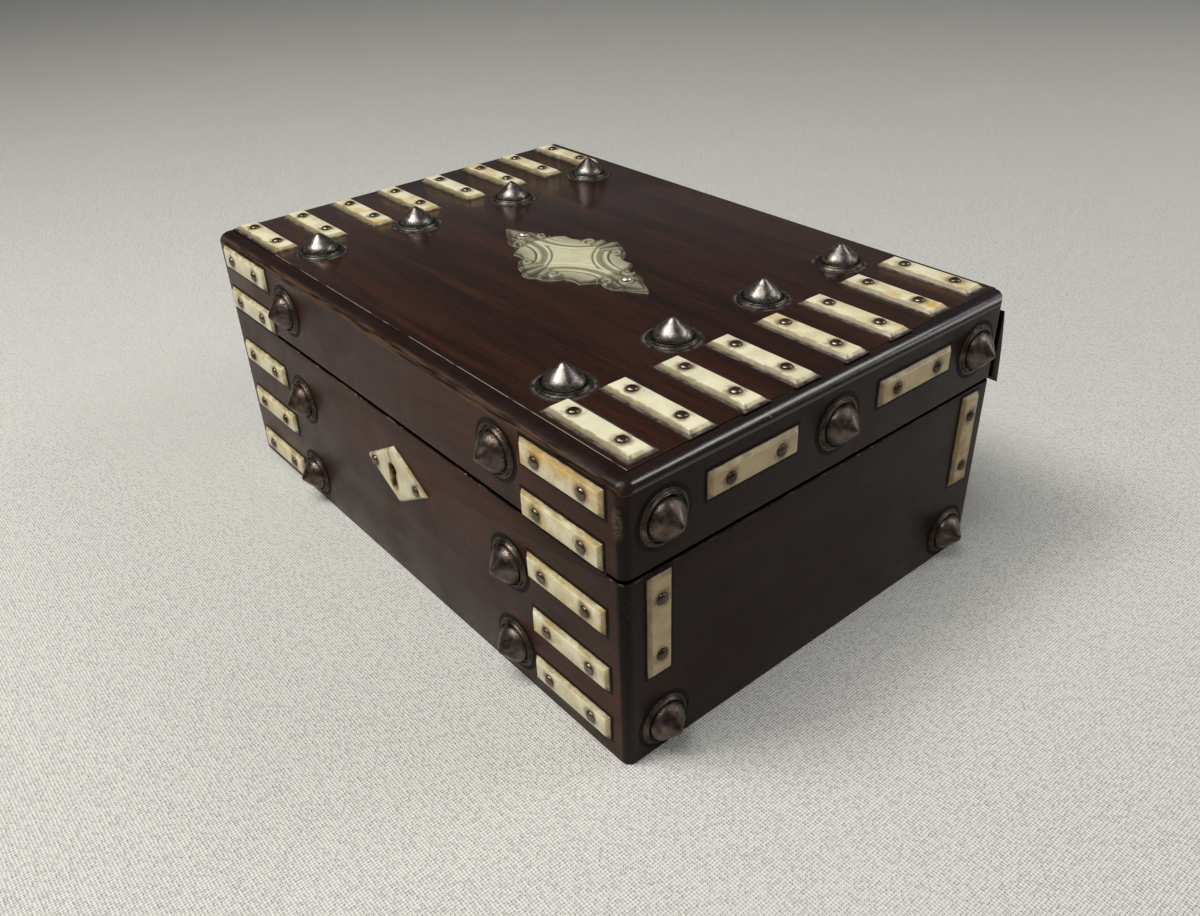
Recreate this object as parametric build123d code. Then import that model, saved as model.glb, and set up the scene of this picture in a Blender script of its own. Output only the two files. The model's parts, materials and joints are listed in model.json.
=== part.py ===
from build123d import *
import math
import os

# A table coffret of dark polished wood with a hinged lid, trimmed with bone strips and pointed studs.
# Lengths are millimetres. X runs along the front, Y from front to back and Z up.
# The functions draw everything round the carcase's own middle, and save() moves it to the part's origin.

# Carcase
box_length = 290.0
box_depth = 197.0
base_height = 81.0
rail_height = 29.1
joint_gap = 0.4
wall = 10.0
corner_radius = 4.0
bottom_thickness = 7.0
bottom_lap = 5.0
panel_thickness = 8.0

# Moulding planted round the lid's top edge
front_moulding_width = 7.0
side_moulding_width = 5.2
moulding_drop = 4.1
moulding_quirk = 0.45
moulding_edge = 0.15
moulding_flat_count = 4

# Hinges, with the pin outside the back
hinge_length = 40.0
hinge_inset = 60.0
hinge_axis_back = 3.3
hinge_axis_drop = 0.9
knuckle_radius = 2.0
knuckle_count = 3
knuckle_gap = 0.2
pin_radius = 1.0
pin_clearance = 0.05
leaf_thickness = 1.0
leaf_reach = 7.0
leaf_gap = 0.2
leaf_clearance = 0.2
hinge_screw_spacing = 25.0
hinge_screw_count = 2

# Stop strip on the back of the lid, which meets the back of the base when the lid is just past upright
stop_height = 28.6
stop_top_thickness = 0.8
stop_bulge = 0.5
stop_reach = 5.0
stop_drop = 4.0
stop_clearance = 0.5

# How far a cut runs past the surface that it opens
overrun = 1.0

# Small turned pieces that repeat are drawn with flats
small_flat_count = 8
stud_flat_count = 12

# Countersunk screws
screw_head_radius = 1.6
screw_shank_radius = 0.7
screw_head_depth = 0.9
screw_length = 5.5
screw_clearance = 0.05

# Keyhole
keyhole_x = 3.4
keyhole_below_edge = 24.0
keyhole_radius = 2.75
keyhole_slot_width = 3.8
keyhole_drop = 9.2
keyhole_clearance = 0.4

# Box lock let into the inside of the front board
lock_plate_width = 52.0
lock_plate_height = 38.0
lock_plate_thickness = 1.2
selvedge_width = 8.5
selvedge_thickness = 1.5
case_width = 40.0
case_height = 34.0
case_depth = 6.5
case_wall = 1.0
lock_fit = 0.1
lock_screw_inset = 3.0
lock_screw_drop = 5.0
drill_pin_radius = 1.2
drill_pin_length = 6.0

# Bolt of the lock and its staple under the lid
bolt_travel = 4.5
bolt_length = 18.0
bolt_height = 13.0
bolt_clearance = 0.3
finger_width = 2.1
finger_height = 2.4
talon_radius = 2.4
link_plate_width = 40.0
link_plate_thickness = 1.5
link_screw_inset = 5.0
staple_offset = 7.0
staple_thickness = 2.0
staple_width = 4.5
staple_length = 8.0
staple_eye_width = 2.5
staple_eye_height = 3.0
staple_eye_floor = 1.5
staple_clearance = 0.5

# Bone strips and the domed pins that hold them
strip_length = 41.8
strip_width = 10.5
strip_thickness = 1.8
strip_bevel = 1.4
pin_offset = 11.8
pin_head_radius = 2.25
pin_crown_radius = 1.3
pin_head_height = 1.25

# Studs: a cupped washer and a pointed cone
washer_radius = 10.2
washer_edge = 0.6
washer_crest_radius = 8.7
washer_crest_height = 1.6
washer_seat_radius = 8.1
washer_seat_height = 0.8
cone_radius = 7.7
cone_height = 8.0
cone_swell_radius = 7.1
cone_swell_height = 1.7
cone_shoulder_radius = 5.6
cone_shoulder_height = 3.6
cone_tip_radius = 1.3
cone_tip_height = 7.5
cone_point_radius = 0.5

# Trim on the lid's top: rows of strips at both ends, and a stud after every second strip.
# Insets are measured from the edge of the face to the middle of the piece.
top_rows = 8
top_strip_inset = 28.0
top_row_shift = 1.7
top_stud_gap = 2.4

# Trim on the front
front_strip_inset = 29.4
front_lid_strip_heights = (6.0, 27.0)
front_base_strip_heights = (11.6, 35.8, 60.6)
front_stud_inset = 65.4
front_lid_stud_height = 19.0
front_base_stud_heights = (15.4, 54.8)

# Trim on the ends
side_lid_strip_inset = 56.0
side_lid_strip_height = 21.2
side_lid_stud_height = 18.2
side_stud_inset = 16.9
side_base_stud_height = 13.1
side_base_strip_inset = 14.5
side_base_strip_height = 58.0

# The trim was laid by hand, so each piece strays from its regular place: along the face, then across
top_left_strays = (
    (-1.0, -0.8), (0.6, -1.8), (1.2, -1.8), (1.2, -0.9), (1.7, 0.7), (1.0, 1.5), (0.4, 0.0), (1.0, 0.1),
)
top_right_strays = (
    (-0.8, 1.2), (0.9, -0.1), (1.6, -1.2), (1.7, -1.2), (1.7, 0.0), (1.5, 0.0), (-0.3, 1.2), (-1.6, 1.6),
)
top_left_stud_strays = ((-0.4, -2.9), (0.6, -3.4), (2.8, 0.4), (0.2, 1.2))
top_right_stud_strays = ((2.6, -0.5), (2.2, 0.5), (1.0, -0.1), (-1.5, -0.4))
front_left_strays = ((-0.9, 0.0), (0.4, 0.0), (-0.4, -1.6), (0.6, -1.0), (0.1, -0.4))
front_right_strays = ((-0.7, 0.0), (0.8, 0.0), (-0.1, 1.6), (0.4, 0.7), (-0.4, 0.5))
front_left_stud_strays = ((2.0, -0.9), (-0.3, -0.9), (1.8, 0.5))
front_right_stud_strays = ((0.7, 0.6), (2.2, 0.9), (2.4, -0.6))

# Bone lozenge on the lid, and the bone escutcheon round the keyhole
cartouche_centre = (2.0, -2.0)
cartouche_half_length = 48.4
cartouche_half_height = 25.5
cartouche_thickness = 2.0
cartouche_pin_offset = 34.8
escutcheon_shift = 1.6
escutcheon_drop = 2.1
escutcheon_half_length = 23.0
escutcheon_half_height = 13.5
escutcheon_thickness = 1.8
escutcheon_bevel = 1.0
escutcheon_pin_offset = 15.9

# Places that follow from the sizes above
half_length = box_length / 2
half_depth = box_depth / 2
lid_bottom = base_height + joint_gap
split = base_height + joint_gap / 2
panel_bottom = lid_bottom + rail_height
lid_top = panel_bottom + panel_thickness
moulding_bottom = lid_top - moulding_quirk - moulding_drop - moulding_edge
hinge_spacing = box_length - 2 * hinge_inset
hinge_y = half_depth + hinge_axis_back
hinge_z = split - hinge_axis_drop
front_inside = wall - half_depth
stud_height = washer_seat_height + cone_height
back_reach = max(hinge_axis_back + knuckle_radius, stop_reach)
origin_shift = (stud_height - back_reach) / 2
keyhole_z = base_height - keyhole_below_edge
case_top = base_height - selvedge_thickness
case_back = front_inside - lock_plate_thickness
bolt_y = case_back - (case_depth - case_wall) / 2
staple_x = keyhole_x + staple_offset
finger_z = lid_bottom - staple_length + staple_eye_floor + staple_eye_height / 2
top_strip_x = half_length - top_strip_inset
front_strip_x = half_length - front_strip_inset
front_stud_x = half_length - front_stud_inset
side_lid_strip_y = half_depth - side_lid_strip_inset
side_base_strip_y = half_depth - side_base_strip_inset
side_stud_y = half_depth - side_stud_inset

sides = ("front", "back", "left", "right")

# Flat frames on the faces that carry trim: first along the face, then across it, then outwards
top_face = Plane(origin=(0, 0, lid_top), x_dir=(1, 0, 0), z_dir=(0, 0, 1))
front_face = Plane(origin=(0, -half_depth, 0), x_dir=(1, 0, 0), z_dir=(0, -1, 0))
right_face = Plane(origin=(half_length, 0, 0), x_dir=(0, 1, 0), z_dir=(1, 0, 0))
left_face = Plane(origin=(-half_length, 0, 0), x_dir=(0, -1, 0), z_dir=(-1, 0, 0))


def block(low, high):
    """A box between its lowest and highest corners."""
    size = [b - a for a, b in zip(low, high)]
    return Pos(*low) * Box(*size, align=(Align.MIN, Align.MIN, Align.MIN))


def outline_prism(bottom, height):
    """The box's plan with its rounded corners, drawn up from a level."""
    return Pos(0, 0, bottom) * extrude(RectangleRounded(box_length, box_depth, corner_radius), height)


def mitred_board(side, bottom, height):
    """One board of a frame, with mitred ends and rounded outer corners."""
    x, y = half_length, half_depth
    corners = {
        "front": [(-x, -y), (x, -y), (x - wall, -y + wall), (-x + wall, -y + wall)],
        "back": [(-x + wall, y - wall), (x - wall, y - wall), (x, y), (-x, y)],
        "left": [(-x, -y), (-x + wall, -y + wall), (-x + wall, y - wall), (-x, y)],
        "right": [(x - wall, -y + wall), (x, -y), (x, y), (x - wall, y - wall)],
    }[side]
    plan = Polygon(*corners, align=None) & RectangleRounded(box_length, box_depth, corner_radius)
    return Pos(0, 0, bottom) * extrude(plan, height)


def moulding_section(width):
    """The moulding's section, inwards and up: a flat quarter round, planed into a few flats."""
    angles = [index * math.pi / 2 / moulding_flat_count for index in range(moulding_flat_count + 1)]
    ellipse = [(width * (1 - math.cos(t)), moulding_edge + moulding_drop * math.sin(t)) for t in angles]
    return make_face(Polyline((0, 0), *ellipse, (width, 0), close=True))


def moulding(side):
    """A mitred strip of the moulding planted round the lid's top edge."""
    x, y = half_length, half_depth
    front, end = front_moulding_width, side_moulding_width
    corners = {
        "front": [(-x, -y), (x, -y), (x - end, -y + front), (-x + end, -y + front)],
        "left": [(-x, -y), (-x + end, -y + front), (-x + end, y), (-x, y)],
        "right": [(x - end, -y + front), (x, -y), (x, y), (x - end, y)],
    }[side]
    width, start, inwards, along, run = {
        "front": (front, (-x, -y, moulding_bottom), (0, 1, 0), (1, 0, 0), box_length),
        "left": (end, (-x, y, moulding_bottom), (1, 0, 0), (0, -1, 0), box_depth),
        "right": (end, (x, -y, moulding_bottom), (-1, 0, 0), (0, 1, 0), box_depth),
    }[side]
    plan = Polygon(*corners, align=None) & RectangleRounded(box_length, box_depth, corner_radius)
    mitred = Pos(0, 0, moulding_bottom) * extrude(plan, moulding_edge + moulding_drop)
    section = Plane(origin=start, x_dir=inwards, z_dir=along) * moulding_section(width)
    return mitred & extrude(section, run)


def lid_panel():
    """The lid's top board, rebated on three edges for the mouldings."""
    lower = outline_prism(panel_bottom, moulding_bottom - panel_bottom)
    upper_low = (-half_length + side_moulding_width, -half_depth + front_moulding_width, moulding_bottom)
    upper_high = (half_length - side_moulding_width, half_depth, lid_top)
    return lower + block(upper_low, upper_high)


def bottom_board():
    """The base's bottom, housed in a rebate of the four boards."""
    x = half_length - wall + bottom_lap
    y = half_depth - wall + bottom_lap
    return block((-x, -y, 0), (x, y, bottom_thickness))


def turned(profile, flats):
    """A small turned piece as a stack of tapering bands, from radii and heights along its side."""
    bands = []
    for (lower_radius, lower), (upper_radius, upper) in zip(profile, profile[1:]):
        height = upper - lower
        lean = abs(lower_radius - upper_radius) * math.cos(math.pi / flats)
        foot = RegularPolygon(max(lower_radius, upper_radius), flats)
        band = extrude(foot, height, taper=math.degrees(math.atan2(lean, height)))
        widens = upper_radius > lower_radius
        bands.append(Pos(0, 0, upper) * Rot(180, 0, 0) * band if widens else Pos(0, 0, lower) * band)
    return bands[0].fuse(*bands[1:]) if len(bands) > 1 else bands[0]


def screw(clearance=0.0):
    """A countersunk screw pointing down with its head flush at Z 0, or the hole that it fits."""
    head = turned([(screw_shank_radius, -screw_head_depth), (screw_head_radius, 0)], small_flat_count)
    radius = screw_shank_radius + clearance
    shank_length = screw_length + clearance
    shank = Pos(0, 0, -shank_length) * extrude(RegularPolygon(radius, small_flat_count), shank_length)
    return head + shank


def row(count, spacing):
    """Places along a line, evenly spaced about zero."""
    return [(index - (count - 1) / 2) * spacing for index in range(count)]


def hinge_screw_places(middle, level):
    """Where one leaf's screws go."""
    y = half_depth - leaf_reach / 2
    return [Pos(middle + x, y, level) for x in row(hinge_screw_count, hinge_screw_spacing)]


def across(start, y, z):
    """A plane square to the length of the box, for rounds that run along the back."""
    return Plane(origin=(start, y, z), x_dir=(0, 1, 0), z_dir=(1, 0, 0))


def hinge_knuckle(start, length, plate_end, level):
    """One knuckle, with the tongue that joins it to its leaf."""
    tongue = block((start, plate_end, level), (start + length, hinge_y, level + leaf_thickness))
    return tongue + extrude(across(start, hinge_y, hinge_z) * Circle(knuckle_radius), length)


def hinge_leaf(middle, of_lid):
    """A leaf let into the back's edge, with its alternate knuckles round the pin."""
    level = split + leaf_gap / 2 if of_lid else split - leaf_gap / 2 - leaf_thickness
    start = middle - hinge_length / 2
    pitch = hinge_length / knuckle_count
    plate_end = hinge_y - knuckle_radius - knuckle_gap - pin_clearance
    low = (start, half_depth - leaf_reach, level)
    leaf = block(low, (start + hinge_length, plate_end, level + leaf_thickness))
    for index in range(1 if of_lid else 0, knuckle_count, 2):
        first = index > 0
        last = index < knuckle_count - 1
        length = pitch - knuckle_gap / 2 * (first + last)
        leaf += hinge_knuckle(start + index * pitch + knuckle_gap / 2 * first, length, plate_end, level)
    leaf -= extrude(across(start, hinge_y, hinge_z) * Circle(pin_radius + pin_clearance), hinge_length)
    for place in hinge_screw_places(middle, level if of_lid else level + leaf_thickness):
        leaf -= place * hinge_screw(of_lid)
    return leaf


def hinge_screw(of_lid, clearance=0.0):
    """A leaf's screw, driven up into the lid or down into the base."""
    return Rot(180, 0, 0) * screw(clearance) if of_lid else screw(clearance)


def hinge_pin(middle):
    """The loose pin of one hinge."""
    return extrude(across(middle - hinge_length / 2, hinge_y, hinge_z) * Circle(pin_radius), hinge_length)


def hinge_cuts(of_lid):
    """The leaves' beds and screw holes in the edges of the base's back board and the lid's back rail."""
    level = split + leaf_gap / 2 if of_lid else split - leaf_gap / 2
    lowest, highest = sorted((split, level + leaf_thickness if of_lid else level - leaf_thickness))
    reach = hinge_length / 2 + leaf_clearance
    front = half_depth - leaf_reach - leaf_clearance
    cuts = []
    for middle in row(2, hinge_spacing):
        low = (middle - reach, front, lowest)
        cuts.append(block(low, (middle + reach, half_depth + overrun, highest)))
        for place in hinge_screw_places(middle, level):
            cuts.append(place * hinge_screw(of_lid, screw_clearance))
    return cuts


def stop_strip():
    """A wedge along the lid's back that thickens to a lip below the joint, cut away round the hinges."""
    tip = (half_depth + stop_reach, split - stop_drop)
    top = lid_bottom + stop_height
    shoulder = (half_depth + stop_top_thickness, top)
    middle = ((tip[0] + shoulder[0]) / 2 + stop_bulge, (tip[1] + shoulder[1]) / 2)
    outside = ThreePointArc(tip, middle, shoulder)
    inside = Polyline(shoulder, (half_depth, top), (half_depth, lid_bottom), tip)
    strip = extrude(across(-box_length / 2, 0, 0) * make_face(outside + inside), box_length)
    reach = hinge_length / 2 + stop_clearance
    notch_top = hinge_z + knuckle_radius + stop_clearance
    for x in row(2, hinge_spacing):
        low = (x - reach, half_depth - overrun, split - stop_drop - overrun)
        strip -= block(low, (x + reach, half_depth + stop_reach + overrun, notch_top))
    return strip


def keyhole(depth, clearance=0.0):
    """The keyhole's round and slot, run inwards from the front's plane."""
    radius = keyhole_radius + clearance
    slot_width = keyhole_slot_width + 2 * clearance
    slot_drop = keyhole_drop + clearance
    slot = Pos(0, -slot_drop / 2) * Rectangle(slot_width, slot_drop)
    return front_face * Pos(keyhole_x, keyhole_z) * extrude(Circle(radius) + slot, -depth)


def lock_plate(fit=0.0):
    """The lock's plate, turned over at the top as a selvedge; with a fit, the bed for it."""
    x = lock_plate_width / 2 + fit
    bottom = base_height - lock_plate_height - fit
    plate = block((keyhole_x - x, case_back - fit, bottom), (keyhole_x + x, front_inside, base_height))
    low = (keyhole_x - x, front_inside - selvedge_width - fit, case_top - fit)
    return plate + block(low, (keyhole_x + x, front_inside, base_height))


def lock_case_block(fit=0.0):
    """The outside of the lock's case; with a fit, the mortise for it."""
    x = case_width / 2 + fit
    low = (keyhole_x - x, case_back - case_depth - fit, case_top - case_height - fit)
    return block(low, (keyhole_x + x, case_back, case_top))


def lock_case():
    """The lock's case: open towards the plate and at the top, where the selvedge closes it."""
    x = case_width / 2 - case_wall
    low = (keyhole_x - x, case_back - case_depth + case_wall, case_top - case_height + case_wall)
    case = lock_case_block() - block(low, (keyhole_x + x, case_back, case_top))
    return case - keyhole(wall, keyhole_clearance)


def lock_screw_places():
    """The four screws at the plate's corners, driven from inside the box."""
    x = lock_plate_width / 2 - lock_screw_inset
    top = base_height - lock_screw_drop
    bottom = base_height - lock_plate_height + lock_screw_drop
    corners = [(keyhole_x + dx, z) for z in (top, bottom) for dx in (-x, x)]
    return [Pos(u, front_inside, z) * Rot(-90, 0, 0) for u, z in corners]


def staple_block(clearance=0.0, bottom=0.0, top=0.0):
    """An upright block at the staple's place."""
    x = staple_thickness / 2 + clearance
    y = staple_width / 2 + clearance
    return block((staple_x - x, bolt_y - y, bottom), (staple_x + x, bolt_y + y, top))


def finished_lock_plate():
    """The plate with the staple's slot and its screw holes."""
    plate = lock_plate() - staple_block(staple_clearance, case_top, base_height)
    for place in lock_screw_places():
        plate -= place * screw()
    return plate


def behind_front(x, z):
    """A plane on the lock plate's outer side, facing the front."""
    return Plane(origin=(x, case_back, z), x_dir=(1, 0, 0), z_dir=(0, -1, 0))


def drill_pin():
    """The pin on the plate that a barrel key turns on."""
    return extrude(behind_front(keyhole_x, keyhole_z) * Circle(drill_pin_radius), drill_pin_length)


def lock_bolt():
    """The bolt drawn back: a bar with a talon for the key, and a finger that shoots through the staple."""
    finger_end = staple_x - staple_thickness / 2 - staple_clearance
    bar_end = finger_end - bolt_travel
    bar_front = case_back - case_depth + case_wall + bolt_clearance
    top = case_top - bolt_clearance
    bottom = top - bolt_height
    bar = block((bar_end - bolt_length, bar_front, bottom), (bar_end, case_back - bolt_clearance, top))
    low = (bar_end, bolt_y - finger_width / 2, finger_z - finger_height / 2)
    finger = block(low, (finger_end, bolt_y + finger_width / 2, finger_z + finger_height / 2))
    talon = extrude(behind_front(keyhole_x - bolt_travel, bottom) * Circle(talon_radius), case_depth)
    return bar + finger - talon


def link_plate_block(fit=0.0):
    """The plate under the lid's front rail; with a fit, the bed for it."""
    x = link_plate_width / 2 + fit
    low = (keyhole_x - x, front_inside - selvedge_width - fit, lid_bottom)
    return block(low, (keyhole_x + x, front_inside, lid_bottom + link_plate_thickness + fit))


def link_screw_places():
    """The two screws of the link plate, driven upwards."""
    x = link_plate_width / 2 - link_screw_inset
    y = front_inside - selvedge_width / 2
    return [Pos(keyhole_x + dx, y, lid_bottom) * Rot(180, 0, 0) for dx in (-x, x)]


def link_plate():
    """The link plate with the staple that drops into the lock."""
    bottom = lid_bottom - staple_length
    eye_bottom = bottom + staple_eye_floor
    half_eye = staple_eye_width / 2
    eye_low = (staple_x - staple_thickness, bolt_y - half_eye, eye_bottom)
    eye_high = (staple_x + staple_thickness, bolt_y + half_eye, eye_bottom + staple_eye_height)
    plate = link_plate_block() + staple_block(0.0, bottom, lid_bottom) - block(eye_low, eye_high)
    for place in link_screw_places():
        plate -= place * screw()
    return plate


def bone_strip():
    """A strip lying on a face, bevelled on all four upper edges."""
    strip = extrude(Rectangle(strip_length, strip_width), strip_thickness)
    return chamfer(strip.faces().sort_by(Axis.Z)[-1].edges(), strip_bevel)


def pin_head():
    """A low domed pin head."""
    return turned([(pin_head_radius, 0), (pin_crown_radius, pin_head_height)], small_flat_count)


def stud_washer():
    """A cupped washer: it rises from a thin edge to a crest, and dips to the cone's seat."""
    rim = [(washer_radius, 0), (washer_radius, washer_edge), (washer_crest_radius, washer_crest_height)]
    dip = [(washer_seat_radius, washer_seat_height), (washer_crest_radius, washer_crest_height)]
    return turned(rim, stud_flat_count) - turned(dip, stud_flat_count)


def stud_cone():
    """A cone that swells at its foot and ends in a blunt point."""
    profile = [
        (cone_radius, 0),
        (cone_swell_radius, cone_swell_height),
        (cone_shoulder_radius, cone_shoulder_height),
        (cone_tip_radius, cone_tip_height),
        (cone_point_radius, cone_height),
    ]
    return Pos(0, 0, washer_seat_height) * turned(profile, stud_flat_count)


def cartouche():
    """The lozenge with leaf tips, side scrolls and a shell at the middle of each long edge."""
    def at(x, y):
        return (x * cartouche_half_length, y * cartouche_half_height)

    upper = (
        ThreePointArc(at(1, 0), at(0.92, 0.10), at(0.83, 0.18))
        + ThreePointArc(at(0.83, 0.18), at(0.70, 0.33), at(0.57, 0.29))
        + ThreePointArc(at(0.57, 0.29), at(0.51, 0.42), at(0.46, 0.57))
        + ThreePointArc(at(0.46, 0.57), at(0.38, 0.55), at(0.29, 0.61))
        + ThreePointArc(at(0.29, 0.61), at(0.23, 0.80), at(0.10, 0.90))
        + ThreePointArc(at(0.10, 0.90), at(0, 1), at(-0.10, 0.90))
    )
    left = mirror(upper.edges()[:5], Plane.YZ)
    upper = Curve() + upper.edges() + left
    outline = make_face(upper + mirror(upper, Plane.XZ))
    return top_face * Pos(*cartouche_centre) * extrude(outline, cartouche_thickness)


def escutcheon_place():
    """The middle of the escutcheon on the front's plane."""
    return front_face * Pos(keyhole_x + escutcheon_shift, keyhole_z - escutcheon_drop)


def escutcheon():
    """A bevelled diamond pierced by the keyhole."""
    x, y = escutcheon_half_length, escutcheon_half_height
    diamond = extrude(Polygon((x, 0), (0, y), (-x, 0), (0, -y), align=None), escutcheon_thickness)
    diamond = chamfer(diamond.faces().sort_by(Axis.Z)[-1].edges(), escutcheon_bevel)
    return escutcheon_place() * diamond - keyhole(-escutcheon_thickness)


def strayed(places, strays):
    """Regular places moved by their hand-laid strays."""
    return [(u + du, v + dv) for (u, v), (du, dv) in zip(places, strays)]


def top_strip_places(side, strays):
    """The strips of one end of the lid's top, from front to back."""
    pitch = box_depth / top_rows
    return strayed([(side * top_strip_x, top_row_shift + y) for y in row(top_rows, pitch)], strays)


def top_stud_places(side, strays):
    """The studs beside the strips, each between two of them."""
    pitch = box_depth / top_rows
    x = side * (top_strip_x - strip_length / 2 - washer_radius - top_stud_gap)
    return strayed([(x, top_row_shift + y) for y in row(top_rows // 2, 2 * pitch)], strays)


def front_places(x, heights, base, strays):
    """A column of pieces at one end of the front."""
    return strayed([(x, base + height) for height in heights], strays)


def laid(face, piece, places, angle=0, lift=0):
    """Copies of a piece on a face."""
    return [face * Pos(u, v, lift) * Rot(0, 0, angle) * piece for u, v in places]


def pins_on(face, places, angle=0, offset=pin_offset, lift=strip_thickness):
    """Two pin heads on each strip or plate."""
    pins = []
    for u, v in places:
        middle = face * Pos(u, v, lift) * Rot(0, 0, angle)
        pins += [middle * Pos(sign * offset, 0) * pin_head() for sign in (-1, 1)]
    return pins


def save(name, *shapes):
    """Write one sub-part, moved from the carcase's middle to the part's origin."""
    solids = [solid for shape in shapes for solid in shape.solids()]
    shape = solids[0] if len(solids) == 1 else Compound(solids)
    export_step(Pos(0, origin_shift, 0) * shape, f"parts/{name}.step")


def build_base():
    """The base's boards."""
    bottom = bottom_board()
    boards = {side: mitred_board(side, 0, base_height) - bottom for side in sides}
    boards["front"] -= lock_plate(lock_fit)
    boards["front"] -= lock_case_block(lock_fit)
    boards["front"] -= keyhole(wall, keyhole_clearance)
    for place in lock_screw_places():
        boards["front"] -= place * screw(screw_clearance)
    for cut in hinge_cuts(of_lid=False):
        boards["back"] -= cut
    for side, board in boards.items():
        save(f"base_{side}_board", board)
    save("base_bottom_board", bottom)


def build_lid():
    """The lid's rails, top, mouldings and stop strip."""
    rails = {side: mitred_board(side, lid_bottom, rail_height) for side in sides}
    rails["front"] -= link_plate_block(lock_fit)
    for place in link_screw_places():
        rails["front"] -= place * screw(screw_clearance)
    for cut in hinge_cuts(of_lid=True):
        rails["back"] -= cut
    for side, rail in rails.items():
        save(f"lid_{side}_rail", rail)
    save("lid_top_panel", lid_panel())
    for side in ("front", "left", "right"):
        save(f"lid_{side}_moulding", moulding(side))
    save("lid_stop_strip", stop_strip())


def build_hinges():
    """The two hinges and their screws."""
    base_screws = []
    lid_screws = []
    for side, middle in zip(("left", "right"), row(2, hinge_spacing)):
        save(f"hinge_{side}_base_leaf", hinge_leaf(middle, of_lid=False))
        save(f"hinge_{side}_lid_leaf", hinge_leaf(middle, of_lid=True))
        save(f"hinge_{side}_pin", hinge_pin(middle))
        base_places = hinge_screw_places(middle, split - leaf_gap / 2)
        lid_places = hinge_screw_places(middle, split + leaf_gap / 2)
        base_screws += [place * hinge_screw(of_lid=False) for place in base_places]
        lid_screws += [place * hinge_screw(of_lid=True) for place in lid_places]
    save("hinge_screws_base", *base_screws)
    save("hinge_screws_lid", *lid_screws)


def build_lock():
    """The lock in the base and its link plate on the lid."""
    save("lock_plate", finished_lock_plate())
    save("lock_case", lock_case())
    save("lock_bolt", lock_bolt())
    save("lock_drill_pin", drill_pin())
    save("lock_screws", *[place * screw() for place in lock_screw_places()])
    save("link_plate", link_plate())
    save("link_plate_screws", *[place * screw() for place in link_screw_places()])


def build_strips(part, face_of, places_of, angle=0):
    """One group of bone strips at each end, with the pins that hold them all."""
    pins = []
    for side in ("left", "right"):
        save(f"{part}_strips_{side}", *laid(face_of[side], bone_strip(), places_of[side], angle))
        pins += pins_on(face_of[side], places_of[side], angle)
    save(f"{part}_pins", *pins)


def build_studs(part, face_of, places_of):
    """One group of studs: their washers, and their cones."""
    washers = []
    cones = []
    for side in ("left", "right"):
        washers += laid(face_of[side], stud_washer(), places_of[side])
        cones += laid(face_of[side], stud_cone(), places_of[side])
    save(f"{part}_stud_washers", *washers)
    save(f"{part}_stud_cones", *cones)


def build_top_trim():
    """The trim on the lid's top."""
    faces = {"left": top_face, "right": top_face}
    strips = {
        "left": top_strip_places(-1, top_left_strays),
        "right": top_strip_places(1, top_right_strays),
    }
    studs = {
        "left": top_stud_places(-1, top_left_stud_strays),
        "right": top_stud_places(1, top_right_stud_strays),
    }
    build_strips("lid_top", faces, strips)
    build_studs("lid_top", faces, studs)


def build_front_trim(part, base, strip_heights, stud_heights, first_strip, first_stud):
    """The trim on the front of the lid or of the base."""
    faces = {"left": front_face, "right": front_face}
    strips = {
        "left": front_places(-front_strip_x, strip_heights, base, front_left_strays[first_strip:]),
        "right": front_places(front_strip_x, strip_heights, base, front_right_strays[first_strip:]),
    }
    studs = {
        "left": front_places(-front_stud_x, stud_heights, base, front_left_stud_strays[first_stud:]),
        "right": front_places(front_stud_x, stud_heights, base, front_right_stud_strays[first_stud:]),
    }
    build_strips(part, faces, strips)
    build_studs(part, faces, studs)


def build_end_trim():
    """The trim on the two ends, laid alike."""
    faces = {"left": left_face, "right": right_face}
    lid_strips = [(y, lid_bottom + side_lid_strip_height) for y in (-side_lid_strip_y, side_lid_strip_y)]
    base_strips = [(y, side_base_strip_height) for y in (-side_base_strip_y, side_base_strip_y)]
    lid_studs = [(y, lid_bottom + side_lid_stud_height) for y in (-side_stud_y, 0, side_stud_y)]
    base_studs = [(y, side_base_stud_height) for y in (-side_stud_y, side_stud_y)]
    build_strips("lid_side", faces, {side: lid_strips for side in faces})
    build_strips("base_side", faces, {side: base_strips for side in faces}, angle=90)
    build_studs("lid_side", faces, {side: lid_studs for side in faces})
    build_studs("base_side", faces, {side: base_studs for side in faces})


def build_plates():
    """The carved lozenge, the escutcheon and their pins."""
    save("lid_cartouche", cartouche())
    pins = pins_on(top_face, [cartouche_centre], offset=cartouche_pin_offset, lift=cartouche_thickness)
    save("cartouche_pins", *pins)
    save("keyhole_escutcheon", escutcheon())
    middle = (keyhole_x + escutcheon_shift, keyhole_z - escutcheon_drop)
    pins = pins_on(front_face, [middle], offset=escutcheon_pin_offset, lift=escutcheon_thickness)
    save("escutcheon_pins", *pins)


os.makedirs("parts", exist_ok=True)
build_base()
build_lid()
build_hinges()
build_lock()
build_top_trim()
build_front_trim("lid_front", lid_bottom, front_lid_strip_heights, (front_lid_stud_height,), 0, 0)
build_front_trim("base_front", 0, front_base_strip_heights, front_base_stud_heights, 2, 1)
build_end_trim()
build_plates()
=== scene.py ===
import json
import logging
import math
from dataclasses import dataclass, field
from enum import Enum
from functools import reduce

import bmesh
import bpy
import numpy as np
from bmesh.types import BMEdge, BMesh, BMFace, BMVert
from bpy.types import Node, NodeSocket, NodeTree
from mathutils import Matrix, Vector, noise

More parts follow.
